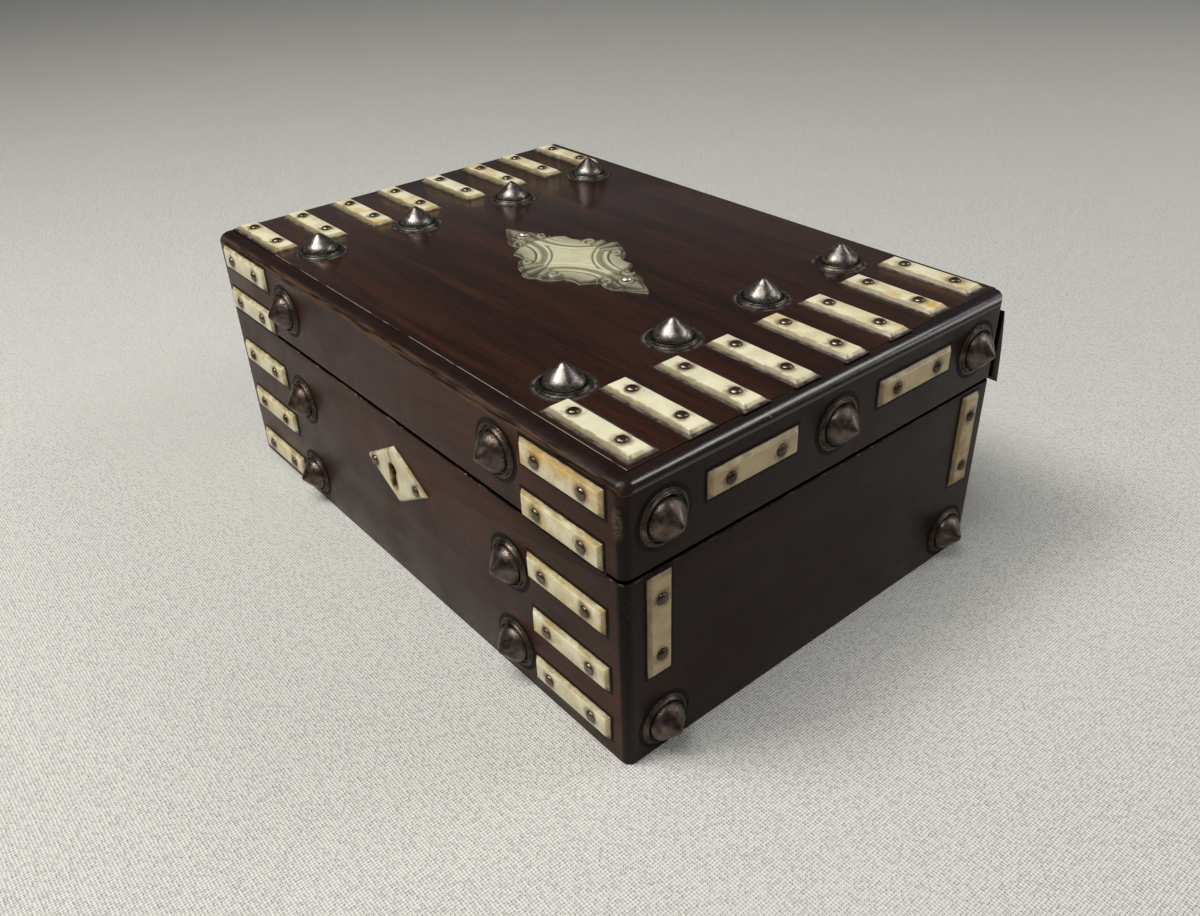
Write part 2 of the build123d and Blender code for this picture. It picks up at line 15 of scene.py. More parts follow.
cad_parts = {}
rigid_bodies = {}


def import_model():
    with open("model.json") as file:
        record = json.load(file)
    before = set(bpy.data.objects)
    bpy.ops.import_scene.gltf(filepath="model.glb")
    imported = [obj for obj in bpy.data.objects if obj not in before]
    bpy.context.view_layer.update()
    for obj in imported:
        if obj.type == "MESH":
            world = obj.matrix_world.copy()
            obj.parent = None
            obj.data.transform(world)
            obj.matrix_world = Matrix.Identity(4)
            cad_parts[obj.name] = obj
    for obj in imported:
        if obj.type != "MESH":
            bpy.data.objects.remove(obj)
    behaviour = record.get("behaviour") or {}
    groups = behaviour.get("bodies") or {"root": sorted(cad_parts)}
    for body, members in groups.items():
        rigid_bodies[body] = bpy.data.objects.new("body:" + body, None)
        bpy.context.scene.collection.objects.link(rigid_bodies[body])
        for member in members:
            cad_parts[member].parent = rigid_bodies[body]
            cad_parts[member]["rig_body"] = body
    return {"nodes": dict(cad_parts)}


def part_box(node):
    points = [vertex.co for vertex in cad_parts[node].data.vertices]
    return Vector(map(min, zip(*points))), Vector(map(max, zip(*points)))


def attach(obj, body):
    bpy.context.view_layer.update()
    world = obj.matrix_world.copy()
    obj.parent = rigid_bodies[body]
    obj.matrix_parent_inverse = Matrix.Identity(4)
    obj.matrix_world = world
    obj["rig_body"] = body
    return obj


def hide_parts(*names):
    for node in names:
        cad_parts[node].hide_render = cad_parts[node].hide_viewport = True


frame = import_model()

log = logging.getLogger("coffret")
MM = 0.001
# Heights that differ by less than this are one height
NEAR = 1e-5
# Blender takes the offsets of its noise vectors from the clock until a seed is set
NOISE_SEED = 5
# A step between two values that eases in and out
SOFT = {"interpolation_type": "SMOOTHSTEP"}
Colour = tuple[float, float, float, float]


def linear(code: str) -> Colour:
    """Turn an sRGB hex colour into linear light.

    Args:
        code: Six hex digits after a hash.

    Returns:
        Red, green and blue in linear light, and an alpha of 1.
    """
    parts = [int(code[start:start + 2], 16) / 255 for start in (1, 3, 5)]
    light = [part / 12.92 if part <= 0.04045 else ((part + 0.055) / 1.055) ** 2.4 for part in parts]
    return light[0], light[1], light[2], 1.0


def add(tree: NodeTree, kind: str, inputs: dict[int | str, object] | None = None, **settings: object) -> Node:
    """Add one node with its settings and links.

    Args:
        tree: The material's node tree.
        kind: The node's type, without the words that all of them start with.
        inputs: For each input, a plain value, a socket, or a node that stands for its first output.
        settings: The node's own properties.

    Returns:
        The new node.
    """
    node = tree.nodes.new(f"ShaderNode{kind}")
    for name, value in settings.items():
        setattr(node, name, value)
    for key, value in (inputs or {}).items():
        if isinstance(value, Node):
            value = value.outputs[0]
        if isinstance(value, NodeSocket):
            tree.links.new(value, node.inputs[key])
        else:
            node.inputs[key].default_value = value
    return node


class Grain(Enum):
    """Which way the wood's grain runs."""

    ALONG_X = (0, 1, 2)
    ALONG_Y = (1, 0, 2)
    ALONG_Z = (2, 1, 0)

    def stretch(self, length: float, width: float) -> tuple[float, ...]:
        """Pattern scale for fibres of a length and width in millimetres.

        Args:
            length: How long the fibres are, in millimetres.
            width: How wide they are.

        Returns:
            Repeats for each metre along the three directions.
        """
        scale = [1 / (width * MM)] * 3
        scale[self.value[0]] = 1 / (length * MM)
        return tuple(scale)


class Finish:
    """A surface finish that makes its material once and then hands it out again."""

    name: str

    def material(self) -> bpy.types.Material:
        """The finish's material.

        Returns:
            The material, with its nodes.
        """
        known = bpy.data.materials.get(self.name)
        if known:
            return known
        made = bpy.data.materials.new(self.name)
        made.use_nodes = True
        tree = made.node_tree
        tree.nodes.clear()
        shader = add(tree, "BsdfPrincipled", self.shade(tree, add(tree, "TexCoord").outputs["Object"]))
        add(tree, "OutputMaterial", {"Surface": shader})
        return made

    def shade(self, tree: NodeTree, place: NodeSocket) -> dict[str, object]:
        """Build the nodes.

        Args:
            tree: The material's node tree.
            place: Object coordinates.

        Returns:
            Values, sockets and nodes for the shader's inputs.
        """
        raise NotImplementedError


def patches(
    tree: NodeTree, place: Node | NodeSocket, scale: tuple[float, ...], low: float, high: float,
    detail: float = 3.0, shift: float = 0.0,
) -> Node:
    """A mask of irregular patches or streaks.

    Args:
        tree: The material's node tree.
        place: The coordinates that the pattern follows.
        scale: Repeats for each metre, or for each unit of the coordinates, along the three directions.
        low: Noise value where the mask starts.
        high: Noise value where the mask is full.
        detail: How much finer noise is laid over the pattern.
        shift: How far the pattern is moved, so that two masks differ.

    Returns:
        The node whose first output is the mask, from 0 to 1.
    """
    moved = add(tree, "Mapping", {"Vector": place, "Location": (shift, shift, shift), "Scale": scale})
    cloud = add(tree, "TexNoise", {"Vector": moved, "Scale": 1.0, "Detail": detail, "Roughness": 0.55})
    return add(tree, "MapRange", {0: cloud, 1: low, 2: high}, **SOFT)


def even(size: float) -> tuple[float, float, float]:
    """Pattern scale for patches of one size in millimetres, in metre coordinates."""
    return (1 / (size * MM),) * 3


def product(tree: NodeTree, *masks: object) -> Node:
    """Masks and weights multiplied together."""
    return reduce(lambda one, other: add(tree, "Math", {0: one, 1: other}, operation="MULTIPLY"), masks)


def layered(tree: NodeTree, ground: str, layers: list[tuple[Node, float, str]]) -> NodeSocket:
    """Lay colours over a ground, each through its own mask.

    Args:
        tree: The material's node tree.
        ground: The lowest colour, as six hex digits after a hash.
        layers: Masks with their weights and colours, lowest first.

    Returns:
        The socket with the finished colour.
    """
    colour = linear(ground)
    for mask, weight, over in layers:
        share = mask if weight == 1.0 else product(tree, mask, weight)
        mixed = add(tree, "Mix", {0: share, 6: colour, 7: linear(over)}, data_type="RGBA")
        colour = mixed.outputs[2]
    return colour


def relief(tree: NodeTree, heights: list[tuple[Node, float]]) -> Node:
    """Chain bumps, each with its height in millimetres.

    Args:
        tree: The material's node tree.
        heights: Masks with the height of each where it is full.

    Returns:
        The last bump node.
    """
    normal = None
    for mask, height in heights:
        inputs = {"Height": mask, "Distance": abs(height) * MM, "Strength": 1.0}
        if normal:
            inputs["Normal"] = normal
        normal = add(tree, "Bump", inputs, invert=height < 0)
    return normal


@dataclass(frozen=True)
class Rub:
    """A place where the polish is worn to the wood, as an ellipsoid with ragged edges."""

    middle: tuple[float, float, float]
    radii: tuple[float, float, float]
    strength: float = 1.0
    cover: float = 0.38
    pattern: tuple[float, ...] = even(2.2)

    def mask(self, tree: NodeTree, place: NodeSocket) -> Node:
        """The mask of this place.

        Args:
            tree: The material's node tree.
            place: Object coordinates.

        Returns:
            The node whose first output is the mask.
        """
        away = add(tree, "VectorMath", {0: place, 1: self.middle}, operation="SUBTRACT")
        ratio = add(tree, "VectorMath", {0: away, 1: self.radii}, operation="DIVIDE")
        reach = add(tree, "VectorMath", {0: ratio}, operation="LENGTH")
        inside = add(tree, "MapRange", {0: reach.outputs["Value"], 1: 1.0, 2: 0.35}, **SOFT)
        ragged = patches(tree, place, self.pattern, self.cover, self.cover + 0.24, 4.0, 3.1)
        return product(tree, inside, ragged, self.strength)


@dataclass(frozen=True)
class PolishedRosewood(Finish):
    """Rosewood under shellac rubbed on in many thin coats: nearly black, with red-brown streaks, and a deep gloss."""

    name: str
    grain: Grain
    ground: str = "#190b08"
    streak: str = "#2c120c"
    glow: str = "#481d12"
    pore: str = "#0b0504"
    bare: str = "#6a4630"
    roughness: float = 0.2
    gloss: float = 0.5
    rubs: tuple[Rub, ...] = ()

    def shade(self, tree: NodeTree, place: NodeSocket) -> dict[str, object]:
        """Mix the colours, and give the shader's inputs.

        Args:
            tree: The material's node tree.
            place: Object coordinates.

        Returns:
            Values, sockets and nodes for the shader's inputs.
        """
        figure = patches(tree, place, self.grain.stretch(150, 18), 0.36, 0.66, 4.0)
        streaks = patches(tree, place, self.grain.stretch(170, 5.0), 0.4, 0.68, 4.0, 7.3)
        glow = patches(tree, place, self.grain.stretch(110, 9.0), 0.5, 0.76, 4.0, 2.7)
        fibres = patches(tree, place, self.grain.stretch(22, 0.8), 0.35, 0.7, 2.0, 5.1)
        pores = patches(tree, place, self.grain.stretch(6, 0.35), 0.6, 0.7, 1.0, 1.9)
        specks = patches(tree, place, even(1.6), 0.79, 0.83, 2.0, 9.7)
        scratches = self.scratches(tree, place)
        rubbed = [rub.mask(tree, place) for rub in self.rubs]
        colour = layered(tree, self.ground, [
            (figure, 0.75, self.streak),
            (streaks, 0.4, self.streak),
            (glow, 0.4, self.glow),
            (fibres, 0.32, self.pore),
            (pores, 0.6, self.pore),
            (scratches, 0.2, "#8a6a55"),
            (specks, 0.6, "#a08468"),
            *((mask, 1.0, self.bare) for mask in rubbed),
        ])
        smears = patches(tree, place, even(24), 0.3, 0.7, 4.0, 4.4)
        dull = add(tree, "MapRange", {0: smears, 3: self.roughness * 0.8, 4: self.roughness * 1.35})
        duller = add(tree, "Math", {0: scratches, 1: 0.12, 2: dull}, operation="MULTIPLY_ADD")
        for mask in rubbed:
            duller = add(tree, "Math", {0: mask, 1: 0.25, 2: duller}, operation="MULTIPLY_ADD")
        hollow = patches(tree, place, even(30), 0.2, 0.8, 2.0, 8.8)
        bump = relief(tree, [(hollow, 0.05), (pores, -0.006), (scratches, -0.006)])
        return {"Base Color": colour, "Roughness": duller, "Normal": bump, "IOR": 1.5, "Specular IOR Level": self.gloss}

    def scratches(self, tree: NodeTree, place: NodeSocket) -> Node:
        """Hairline scratches that run in two slanting directions.

        Args:
            tree: The material's node tree.
            place: Object coordinates.

        Returns:
            The node whose first output is the mask.
        """
        lines = []
        for angle, shift in ((0.5, 0.3), (-0.9, 0.8)):
            turned = add(tree, "Mapping", {"Vector": place, "Rotation": (0.2, angle, angle)})
            lines.append(patches(tree, turned.outputs[0], Grain.ALONG_X.stretch(16, 0.3), 0.72, 0.78, 1.0, shift))
        return add(tree, "Math", {0: lines[0], 1: lines[1]}, operation="MAXIMUM")


@dataclass(frozen=True)
class PlanedWood(Finish):
    """The wood as the plane left it, inside the box and under it: brown, dry and dull, with open pores."""

    name: str
    grain: Grain
    ground: str = "#4a2a1b"
    streak: str = "#63402a"

    def shade(self, tree: NodeTree, place: NodeSocket) -> dict[str, object]:
        """Mix the colours, and give the shader's inputs.

        Args:
            tree: The material's node tree.
            place: Object coordinates.

        Returns:
            Values, sockets and nodes for the shader's inputs.
        """
        streaks = patches(tree, place, self.grain.stretch(140, 4), 0.4, 0.65, 4.0)
        fibres = patches(tree, place, self.grain.stretch(16, 0.7), 0.4, 0.7, 2.0, 3.3)
        pores = patches(tree, place, self.grain.stretch(5, 0.35), 0.58, 0.68, 1.0, 6.1)
        stains = patches(tree, place, even(32), 0.5, 0.72, 4.0, 1.2)
        colour = layered(tree, self.ground, [
            (streaks, 1.0, self.streak),
            (fibres, 0.3, "#341b10"),
            (pores, 0.6, "#22110a"),
            (stains, 0.4, "#2c1810"),
        ])
        bump = relief(tree, [(fibres, 0.01), (pores, -0.03)])
        return {"Base Color": colour, "Roughness": 0.62, "Normal": bump, "IOR": 1.5}


@dataclass(frozen=True)
class ArrisWearAndShade(Finish):
    """Edges where hands have thinned the polish: brown, with pale nicks where dust and wax have caught; a near-black
    copy is painted shade along the gap between lid and base.
    """

    name: str
    grain: Grain
    ground: str = "#25120c"
    bare: str = "#6b4a36"
    wax: str = "#9d9488"
    wax_cover: float = 0.66
    gloss: float = 0.3
    nick: float = 2.5

    def shade(self, tree: NodeTree, place: NodeSocket) -> dict[str, object]:
        """Mix the colours, and give the shader's inputs.

        Args:
            tree: The material's node tree.
            place: Object coordinates.

        Returns:
            Values, sockets and nodes for the shader's inputs.
        """
        rubbed = patches(tree, place, self.grain.stretch(12, 3), 0.48, 0.7, 4.0)
        marks = self.grain.stretch(self.nick, 0.9)
        nicks = patches(tree, place, marks, self.wax_cover, self.wax_cover + 0.08, 2.0, 2.2)
        colour = layered(tree, self.ground, [(rubbed, 0.8, self.bare), (nicks, 0.8, self.wax)])
        bump = relief(tree, [(rubbed, 0.03), (nicks, -0.05)])
        return {"Base Color": colour, "Roughness": 0.34, "Normal": bump, "IOR": 1.5, "Specular IOR Level": self.gloss}


@dataclass(frozen=True)
class AgedBone(Finish):
    """Cattle bone, sawn, bevelled and polished: cream, yellow in places, with fine pores and rust round its pins."""

    name: str
    pin_offset: float
    light: str = "#e6dfbd"
    cool: str = "#cdcaad"
    yellow: str = "#c9a24a"
    tan: str = "#9d8450"
    stain: str = "#5e4223"

    def shade(self, tree: NodeTree, place: NodeSocket) -> dict[str, object]:
        """Mix the colours, and give the shader's inputs.

        Args:
            tree: The material's node tree.
            place: Object coordinates.

        Returns:
            Values, sockets and nodes for the shader's inputs.
        """
        laid = add(tree, "Attribute", attribute_name="laid").outputs["Vector"]
        age = add(tree, "Attribute", attribute_name="age").outputs["Fac"]
        parts = add(tree, "SeparateXYZ", {0: laid})
        cloudy = patches(tree, place, even(9), 0.35, 0.7, 4.0)
        pores = patches(tree, place, even(0.8), 0.62, 0.7, 2.0, 5.5)
        specks = patches(tree, place, even(0.9), 0.7, 0.76, 3.0, 1.1)
        rust = self.rust(tree, parts, place)
        bevel = add(tree, "MapRange", {0: parts.outputs[2], 1: 1.66, 2: 1.3}, **SOFT)
        worn = patches(tree, place, even(5.0), 0.3, 0.6, 4.0, 8.1)
        low = add(tree, "MapRange", {0: parts.outputs[2], 1: 1.1, 2: 0.15}, **SOFT)
        foot_darkening = patches(tree, place, even(3.0), 0.26, 0.6, 4.0, 7.7)
        colour = layered(tree, self.light, [
            (cloudy, 0.7, self.cool),
            (product(tree, age, cloudy), 1.0, self.yellow),
            (pores, 0.22, "#8a7648"),
            (specks, 0.6, "#6a5030"),
            (product(tree, bevel, worn), 0.75, self.tan),
            *self.soil(tree, parts, place, bevel),
            (rust, 1.0, self.stain),
            (product(tree, low, foot_darkening), 0.8, "#4a4030"),
        ])
        bump = relief(tree, [(cloudy, 0.04), (pores, -0.02), (specks, -0.03)])
        return {"Base Color": colour, "Roughness": 0.36, "Normal": bump, "IOR": 1.54}

    def soil(self, tree: NodeTree, parts: Node, place: NodeSocket, bevel: Node) -> list[tuple[Node, float, str]]:
        """Old dirt on the bevel that faces the user, and a brown line along its upper edge.

        Args:
            tree: The material's node tree.
            parts: The node that parts the piece's own coordinates, in millimetres.
            place: Object coordinates.
            bevel: The mask of all the bevels.

        Returns:
            Masks with their colours.
        """
        near = add(tree, "MapRange", {0: parts.outputs[1], 1: -3.0, 2: -3.8}, **SOFT)
        soiled = product(tree, bevel, near)
        # The bevel's upper edge is 1.62 mm up
        off = add(tree, "Math", {0: parts.outputs[2], 1: 1.62}, operation="SUBTRACT")
        apart = add(tree, "Math", {0: off}, operation="ABSOLUTE")
        line = add(tree, "MapRange", {0: apart, 1: 0.2, 2: 0.06}, **SOFT)
        broken = patches(tree, place, even(5.5), 0.36, 0.56, 4.0, 9.3)
        crease = product(tree, line, broken, near)
        return [(soiled, 0.72, "#746546"), (crease, 0.65, "#574226")]

    def rust(self, tree: NodeTree, parts: Node, place: NodeSocket) -> Node:
        """The stain round the two pins.

        Args:
            tree: The material's node tree.
            parts: The node that parts the piece's own coordinates, in millimetres.
            place: Object coordinates.

        Returns:
            The node whose first output is the mask.
        """
        side = add(tree, "Math", {0: parts.outputs[0]}, operation="ABSOLUTE")
        along = add(tree, "Math", {0: side, 1: self.pin_offset}, operation="SUBTRACT")
        flat = add(tree, "CombineXYZ", {0: along, 1: parts.outputs[1]})
        away = add(tree, "VectorMath", {0: flat}, operation="LENGTH").outputs["Value"]
        ring = add(tree, "MapRange", {0: away, 1: 5.2, 2: 2.3}, **SOFT)
        uneven = patches(tree, place, even(3.0), 0.32, 0.6, 4.0, 2.6)
        both = product(tree, ring, uneven)
        tight = add(tree, "MapRange", {0: away, 1: 3.2, 2: 2.5}, **SOFT)
        return add(tree, "Math", {0: product(tree, both, 0.85), 1: product(tree, tight, 0.85)}, operation="MAXIMUM")


@dataclass(frozen=True)
class CrackedBone(AgedBone):
    """The escutcheon's bone, cracked from its edge to the keyhole, and browned by hands round the hole."""

    crack_start: tuple[float, float, float] = (-3.5, 11.2, 0.0)
    crack_end: tuple[float, float, float] = (-1.6, 4.6, 0.0)
    hole: tuple[float, float, float] = (-1.6, 2.1, 0.0)
    slot_drop: float = 6.6

    def soil(self, tree: NodeTree, parts: Node, place: NodeSocket, bevel: Node) -> list[tuple[Node, float, str]]:
        """The browned rim of the keyhole, and the crack.

        Args:
            tree: The material's node tree.
            parts: The node that parts the piece's own coordinates, in millimetres.
            place: Object coordinates.
            bevel: The mask of all the bevels; not used here.

        Returns:
            Masks with their weights and colours.
        """
        return [
            (self.browning(tree, parts, place), 1.0, "#77592c"),
            (self.crack(tree, parts, place), 1.0, "#2c1c10"),
        ]

    def crack(self, tree: NodeTree, parts: Node, place: NodeSocket) -> Node:
        """The crack, as a thin wavering line.

        Args:
            tree: The material's node tree.
            parts: The node that parts the piece's own coordinates, in millimetres.
            place: Object coordinates.

        Returns:
            The node whose first output is the mask.
        """
        run = Vector(self.crack_end) - Vector(self.crack_start)
        flat = add(tree, "CombineXYZ", {0: parts.outputs[0], 1: parts.outputs[1]})
        away = add(tree, "VectorMath", {0: flat, 1: self.crack_start}, operation="SUBTRACT")
        wander = patches(tree, place, even(2.2), 0.3, 0.7, 2.0, 6.2)
        side = add(tree, "VectorMath", {0: away, 1: Vector((run.y, -run.x, 0)).normalized()}, operation="DOT_PRODUCT")
        bent = add(tree, "Math", {0: wander, 1: 0.5, 2: side.outputs["Value"]}, operation="MULTIPLY_ADD")
        centred = add(tree, "Math", {0: bent, 1: 0.25}, operation="SUBTRACT")
        off = add(tree, "Math", {0: centred}, operation="ABSOLUTE")
        line = add(tree, "MapRange", {0: off, 1: 0.55, 2: 0.25}, **SOFT)
        along = add(tree, "VectorMath", {0: away, 1: run.normalized()}, operation="DOT_PRODUCT")
        ends = add(tree, "MapRange", {0: along.outputs["Value"], 1: run.length + 0.3, 2: run.length - 0.2})
        starts = add(tree, "MapRange", {0: along.outputs["Value"], 1: -1.5, 2: -1.2})
        return product(tree, line, ends, starts)

    def browning(self, tree: NodeTree, parts: Node, place: NodeSocket) -> Node:
        """The brown rim of the keyhole.

        Args:
            tree: The material's node tree.
            parts: The node that parts the piece's own coordinates, in millimetres.
            place: Object coordinates.

        Returns:
            The node whose first output is the mask.
        """
        across = add(tree, "Math", {0: parts.outputs[0], 1: self.hole[0]}, operation="SUBTRACT")
        up = add(tree, "Math", {0: parts.outputs[1], 1: self.hole[1]}, operation="SUBTRACT")
        least = add(tree, "Math", {0: up, 1: -self.slot_drop}, operation="MAXIMUM")
        nearest = add(tree, "Math", {0: least, 1: 0.0}, operation="MINIMUM")
        over = add(tree, "Math", {0: up, 1: nearest}, operation="SUBTRACT")
        flat = add(tree, "CombineXYZ", {0: across, 1: over})
        away = add(tree, "VectorMath", {0: flat}, operation="LENGTH").outputs["Value"]
        rim = add(tree, "MapRange", {0: away, 1: 4.0, 2: 2.7}, **SOFT)
        uneven = patches(tree, place, even(4.0), 0.22, 0.5, 2.0, 4.9)
        return product(tree, rim, uneven)


@dataclass(frozen=True)
class CarvedBone(Finish):
    """Carved bone: pale and polished where it stands high, grey-green in its hollows, and brown in its cuts."""

    name: str
    light: str = "#cbc7a5"
    hollow: str = "#6c6753"
    cut: str = "#33291a"

    def shade(self, tree: NodeTree, place: NodeSocket) -> dict[str, object]:
        """Mix the colours, and give the shader's inputs.

        Args:
            tree: The material's node tree.
            place: Object coordinates.

        Returns:
            Values, sockets and nodes for the shader's inputs.
        """
        depth = add(tree, "Attribute", attribute_name="depth").outputs["Fac"]
        worked = add(tree, "Attribute", attribute_name="worked").outputs["Fac"]
        cloudy = patches(tree, place, even(7), 0.35, 0.7, 4.0)
        warm = patches(tree, place, even(12), 0.5, 0.7, 2.0, 4.2)
        pores = patches(tree, place, even(0.7), 0.62, 0.7, 2.0, 5.5)
        shallow = add(tree, "MapRange", {0: depth, 1: 0.12, 2: 0.5})
        deep = add(tree, "MapRange", {0: depth, 1: 0.42, 2: 0.85})
        colour = layered(tree, self.light, [
            (cloudy, 0.5, "#b4b294"),
            (worked, 0.8, "#8a8872"),
            (warm, 0.25, "#a98a52"),
            (shallow, 0.78, self.hollow),
            (deep, 0.85, self.cut),
            (pores, 0.2, "#7a6a44"),
        ])
        bump = relief(tree, [(cloudy, 0.04), (pores, -0.02)])
        return {"Base Color": colour, "Roughness": 0.34, "Normal": bump, "IOR": 1.54}


@dataclass(frozen=True)
class WaxAndShadeBead(Finish):
    """Old wax and dust dried against the edges of the trim: a grey, broken line; a dark copy is painted shade round the
    feet of the trim on the front and ends.
    """

    name: str
    wax: str = "#77736b"
    wood: str = "#21120d"
    thick: float = 0.14
    cover: float = 0.3
    gloss: float = 0.5

    def shade(self, tree: NodeTree, place: NodeSocket) -> dict[str, object]:
        """Mix the colours, and give the shader's inputs.

        Args:
            tree: The material's node tree.
            place: Object coordinates.

        Returns:
            Values, sockets and nodes for the shader's inputs.
        """
        laid = add(tree, "Attribute", attribute_name="laid").outputs["Vector"]
        height = add(tree, "SeparateXYZ", {0: laid}).outputs[2]
        near = add(tree, "MapRange", {0: height, 1: 0.0, 2: self.thick}, **SOFT)
        broken = patches(tree, place, even(3.4), self.cover, self.cover + 0.36, 4.0)
        colour = layered(tree, self.wood, [(product(tree, broken, near), 1.0, self.wax)])
        return {
            "Base Color": colour, "Roughness": 0.5, "Normal": relief(tree, [(broken, 0.03)]), "IOR": 1.45,
            "Specular IOR Level": self.gloss,
        }


@dataclass(frozen=True)
class AgedSteel(Finish):
    """Turned steel that has aged in the air: bright where it is rubbed, and brown and pitted where it isn't."""

    name: str
    bright: str
    patina: str
    cover: float
    pitted: float
    roughness: float
    pit_top: float = 4.5

    def shade(self, tree: NodeTree, place: NodeSocket) -> dict[str, object]:
        """Mix the colours, and give the shader's inputs.

        Args:
            tree: The material's node tree.
            place: Object coordinates.

        Returns:
            Values, sockets and nodes for the shader's inputs.
        """
        laid = add(tree, "Attribute", attribute_name="laid").outputs["Vector"]
        height = add(tree, "SeparateXYZ", {0: laid}).outputs[2]
        brown = patches(tree, place, even(3.6), 1 - self.cover - 0.25, 1 - self.cover + 0.25, 5.0)
        low = add(tree, "MapRange", {0: height, 1: self.pit_top, 2: 0.4}, **SOFT)
        pits = patches(tree, place, even(0.75), 0.54, 0.62, 2.0, 6.6)
        pitting = product(tree, pits, low, self.pitted)
        colour = layered(tree, self.bright, [(brown, 1.0, self.patina), (pitting, 1.0, "#2a211b")])
        smears = patches(tree, place, even(1.8), 0.3, 0.7, 3.0, 3.9)
        dull = add(tree, "MapRange", {0: smears, 3: self.roughness * 0.8, 4: self.roughness * 1.4})
        duller = add(tree, "Math", {0: pitting, 1: 0.3, 2: dull}, operation="MULTIPLY_ADD")
        bump = relief(tree, [(smears, 0.02), (pitting, -0.07)])
        return {"Base Color": colour, "Metallic": 1.0, "Roughness": duller, "Normal": bump}


@dataclass(frozen=True)
class AgedBrass(Finish):
    """Rolled brass gone brown in the air, still yellow where it rubs."""

    name: str
    bright: str = "#a08a5e"
    brown: str = "#67522f"

    def shade(self, tree: NodeTree, place: NodeSocket) -> dict[str, object]:
        """Mix the colours, and give the shader's inputs.

        Args:
            tree: The material's node tree.
            place: Object coordinates.

        Returns:
            Values, sockets and nodes for the shader's inputs.
        """
        tarnish = patches(tree, place, even(15), 0.3, 0.72, 6.0)
        rolled = patches(tree, place, Grain.ALONG_X.stretch(14, 0.3), 0.4, 0.7, 2.0, 1.7)
        colour = layered(tree, self.bright, [(tarnish, 1.0, self.brown)])
        dull = add(tree, "MapRange", {0: tarnish, 3: 0.28, 4: 0.5})
        return {"Base Color": colour, "Metallic": 1.0, "Roughness": dull, "Normal": relief(tree, [(rolled, 0.006)])}


@dataclass(frozen=True)
class PaleCloth(Finish):
    """A pale grey cotton cloth pulled flat: fine plain weave, with faint creases and chalky marks."""

    name: str = "pale_cotton_cloth"
    thread: float = 1.1

    def shade(self, tree: NodeTree, place: NodeSocket) -> dict[str, object]:
        """Mix the colours, and give the shader's inputs.

        Args:
            tree: The material's node tree.
            place: Object coordinates.

        Returns:
            Values, sockets and nodes for the shader's inputs.
        """
        ribs = []
        for direction in ("X", "Y"):
            # A wave repeats every 2 pi / 20 of its scale, and the real threads are too fine to show
            scale = 2 * math.pi / (20 * self.thread * MM)
            ribs.append(add(tree, "TexWave", {
                "Vector": place, "Scale": scale, "Distortion": 1.6, "Detail": 2.0,
            }, wave_type="BANDS", bands_direction=direction))
        weave = product(tree, ribs[0].outputs["Fac"], ribs[1].outputs["Fac"])
        marks = patches(tree, place, even(110), 0.52, 0.75, 6.0, 1.4)
        slubs = patches(tree, place, (60.0, 900.0, 60.0), 0.6, 0.75, 2.0, 3.0)
        gaps = patches(tree, place, even(1.5), 0.46, 0.68, 3.0, 7.2)
        colour = layered(tree, "#e4e2db", [
            (weave, 0.58, "#96948e"),
            (gaps, 0.24, "#a19f99"),
            (slubs, 0.12, "#b8b5ac"),
            (marks, 0.35, "#dfddd6"),
        ])
        folds = patches(tree, place, even(260), 0.2, 0.8, 2.0, 5.0)
        bump = relief(tree, [(folds, 1.2), (weave, 0.3), (gaps, -0.2)])
        return {"Base Color": colour, "Roughness": 0.92, "Normal": bump, "IOR": 1.45}


def body_of(node: str) -> str:
    """The name of the body that a CAD node rides on."""
    return frame["nodes"][node]["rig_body"]


def finish_piece(name: str, bm: BMesh, node: str, finishes: list[Finish], sharp: float = 32.0) -> None:
    """Turn a bmesh in metres into a piece that stands for a CAD node.

    Args:
        name: The piece's name.
        bm: The finished mesh, which is freed.
        node: The CAD node that it replaces.
        finishes: The finishes in the order of the mesh's material indices.
        sharp: Edges that turn by more than this many degrees stay sharp.
    """
    mesh = bpy.data.meshes.new(name)
    bmesh.ops.recalc_face_normals(bm, faces=bm.faces)
    for face in bm.faces:
        face.smooth = True
    bm.to_mesh(mesh)
    bm.free()
    mesh.set_sharp_from_angle(angle=math.radians(sharp))
    for finish in finishes:
        mesh.materials.append(finish.material())
    piece = bpy.data.objects.new(name, mesh)
    bpy.context.scene.collection.objects.link(piece)
    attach(piece, body_of(node))
    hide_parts(node)
    log.info("%s: %d faces", name, len(mesh.polygons))


def merged_copy(node: str) -> BMesh:
    """A CAD node's shape as a closed mesh of whole flat faces.

    Args:
        node: The CAD node.

    Returns:
        A bmesh in metres.
    """
    bm = bmesh.new()
    bm.from_mesh(frame["nodes"][node].data)
    bmesh.ops.remove_doubles(bm, verts=bm.verts, dist=1e-6)
    bmesh.ops.dissolve_limit(bm, angle_limit=math.radians(0.5), verts=bm.verts, edges=bm.edges)
    return bm


def soften(bm: BMesh, edges: list[BMEdge], width: float, segments: int = 2) -> list:
    """Round some edges.

    Args:
        bm: The mesh.
        edges: The edges to round.
        width: The rounding in metres.
        segments: How many faces go round it.

    Returns:
        The new faces.
    """
    rounded = bmesh.ops.bevel(
        bm, geom=edges, offset=width, offset_type="OFFSET", affect="EDGES",
        segments=segments, profile=0.5, material=-1, clamp_overlap=True,
    )
    return rounded["faces"]


def sharp_edges(bm: BMesh, least: float) -> list[BMEdge]:
    """Edges that turn by more than an angle in degrees."""
    limit = math.radians(least)
    return [edge for edge in bm.edges if edge.is_manifold and edge.calc_face_angle(0.0) > limit]


def verts_of(geometry: list) -> list[BMVert]:
    """The vertices among mixed geometry."""
    return [item for item in geometry if isinstance(item, BMVert)]


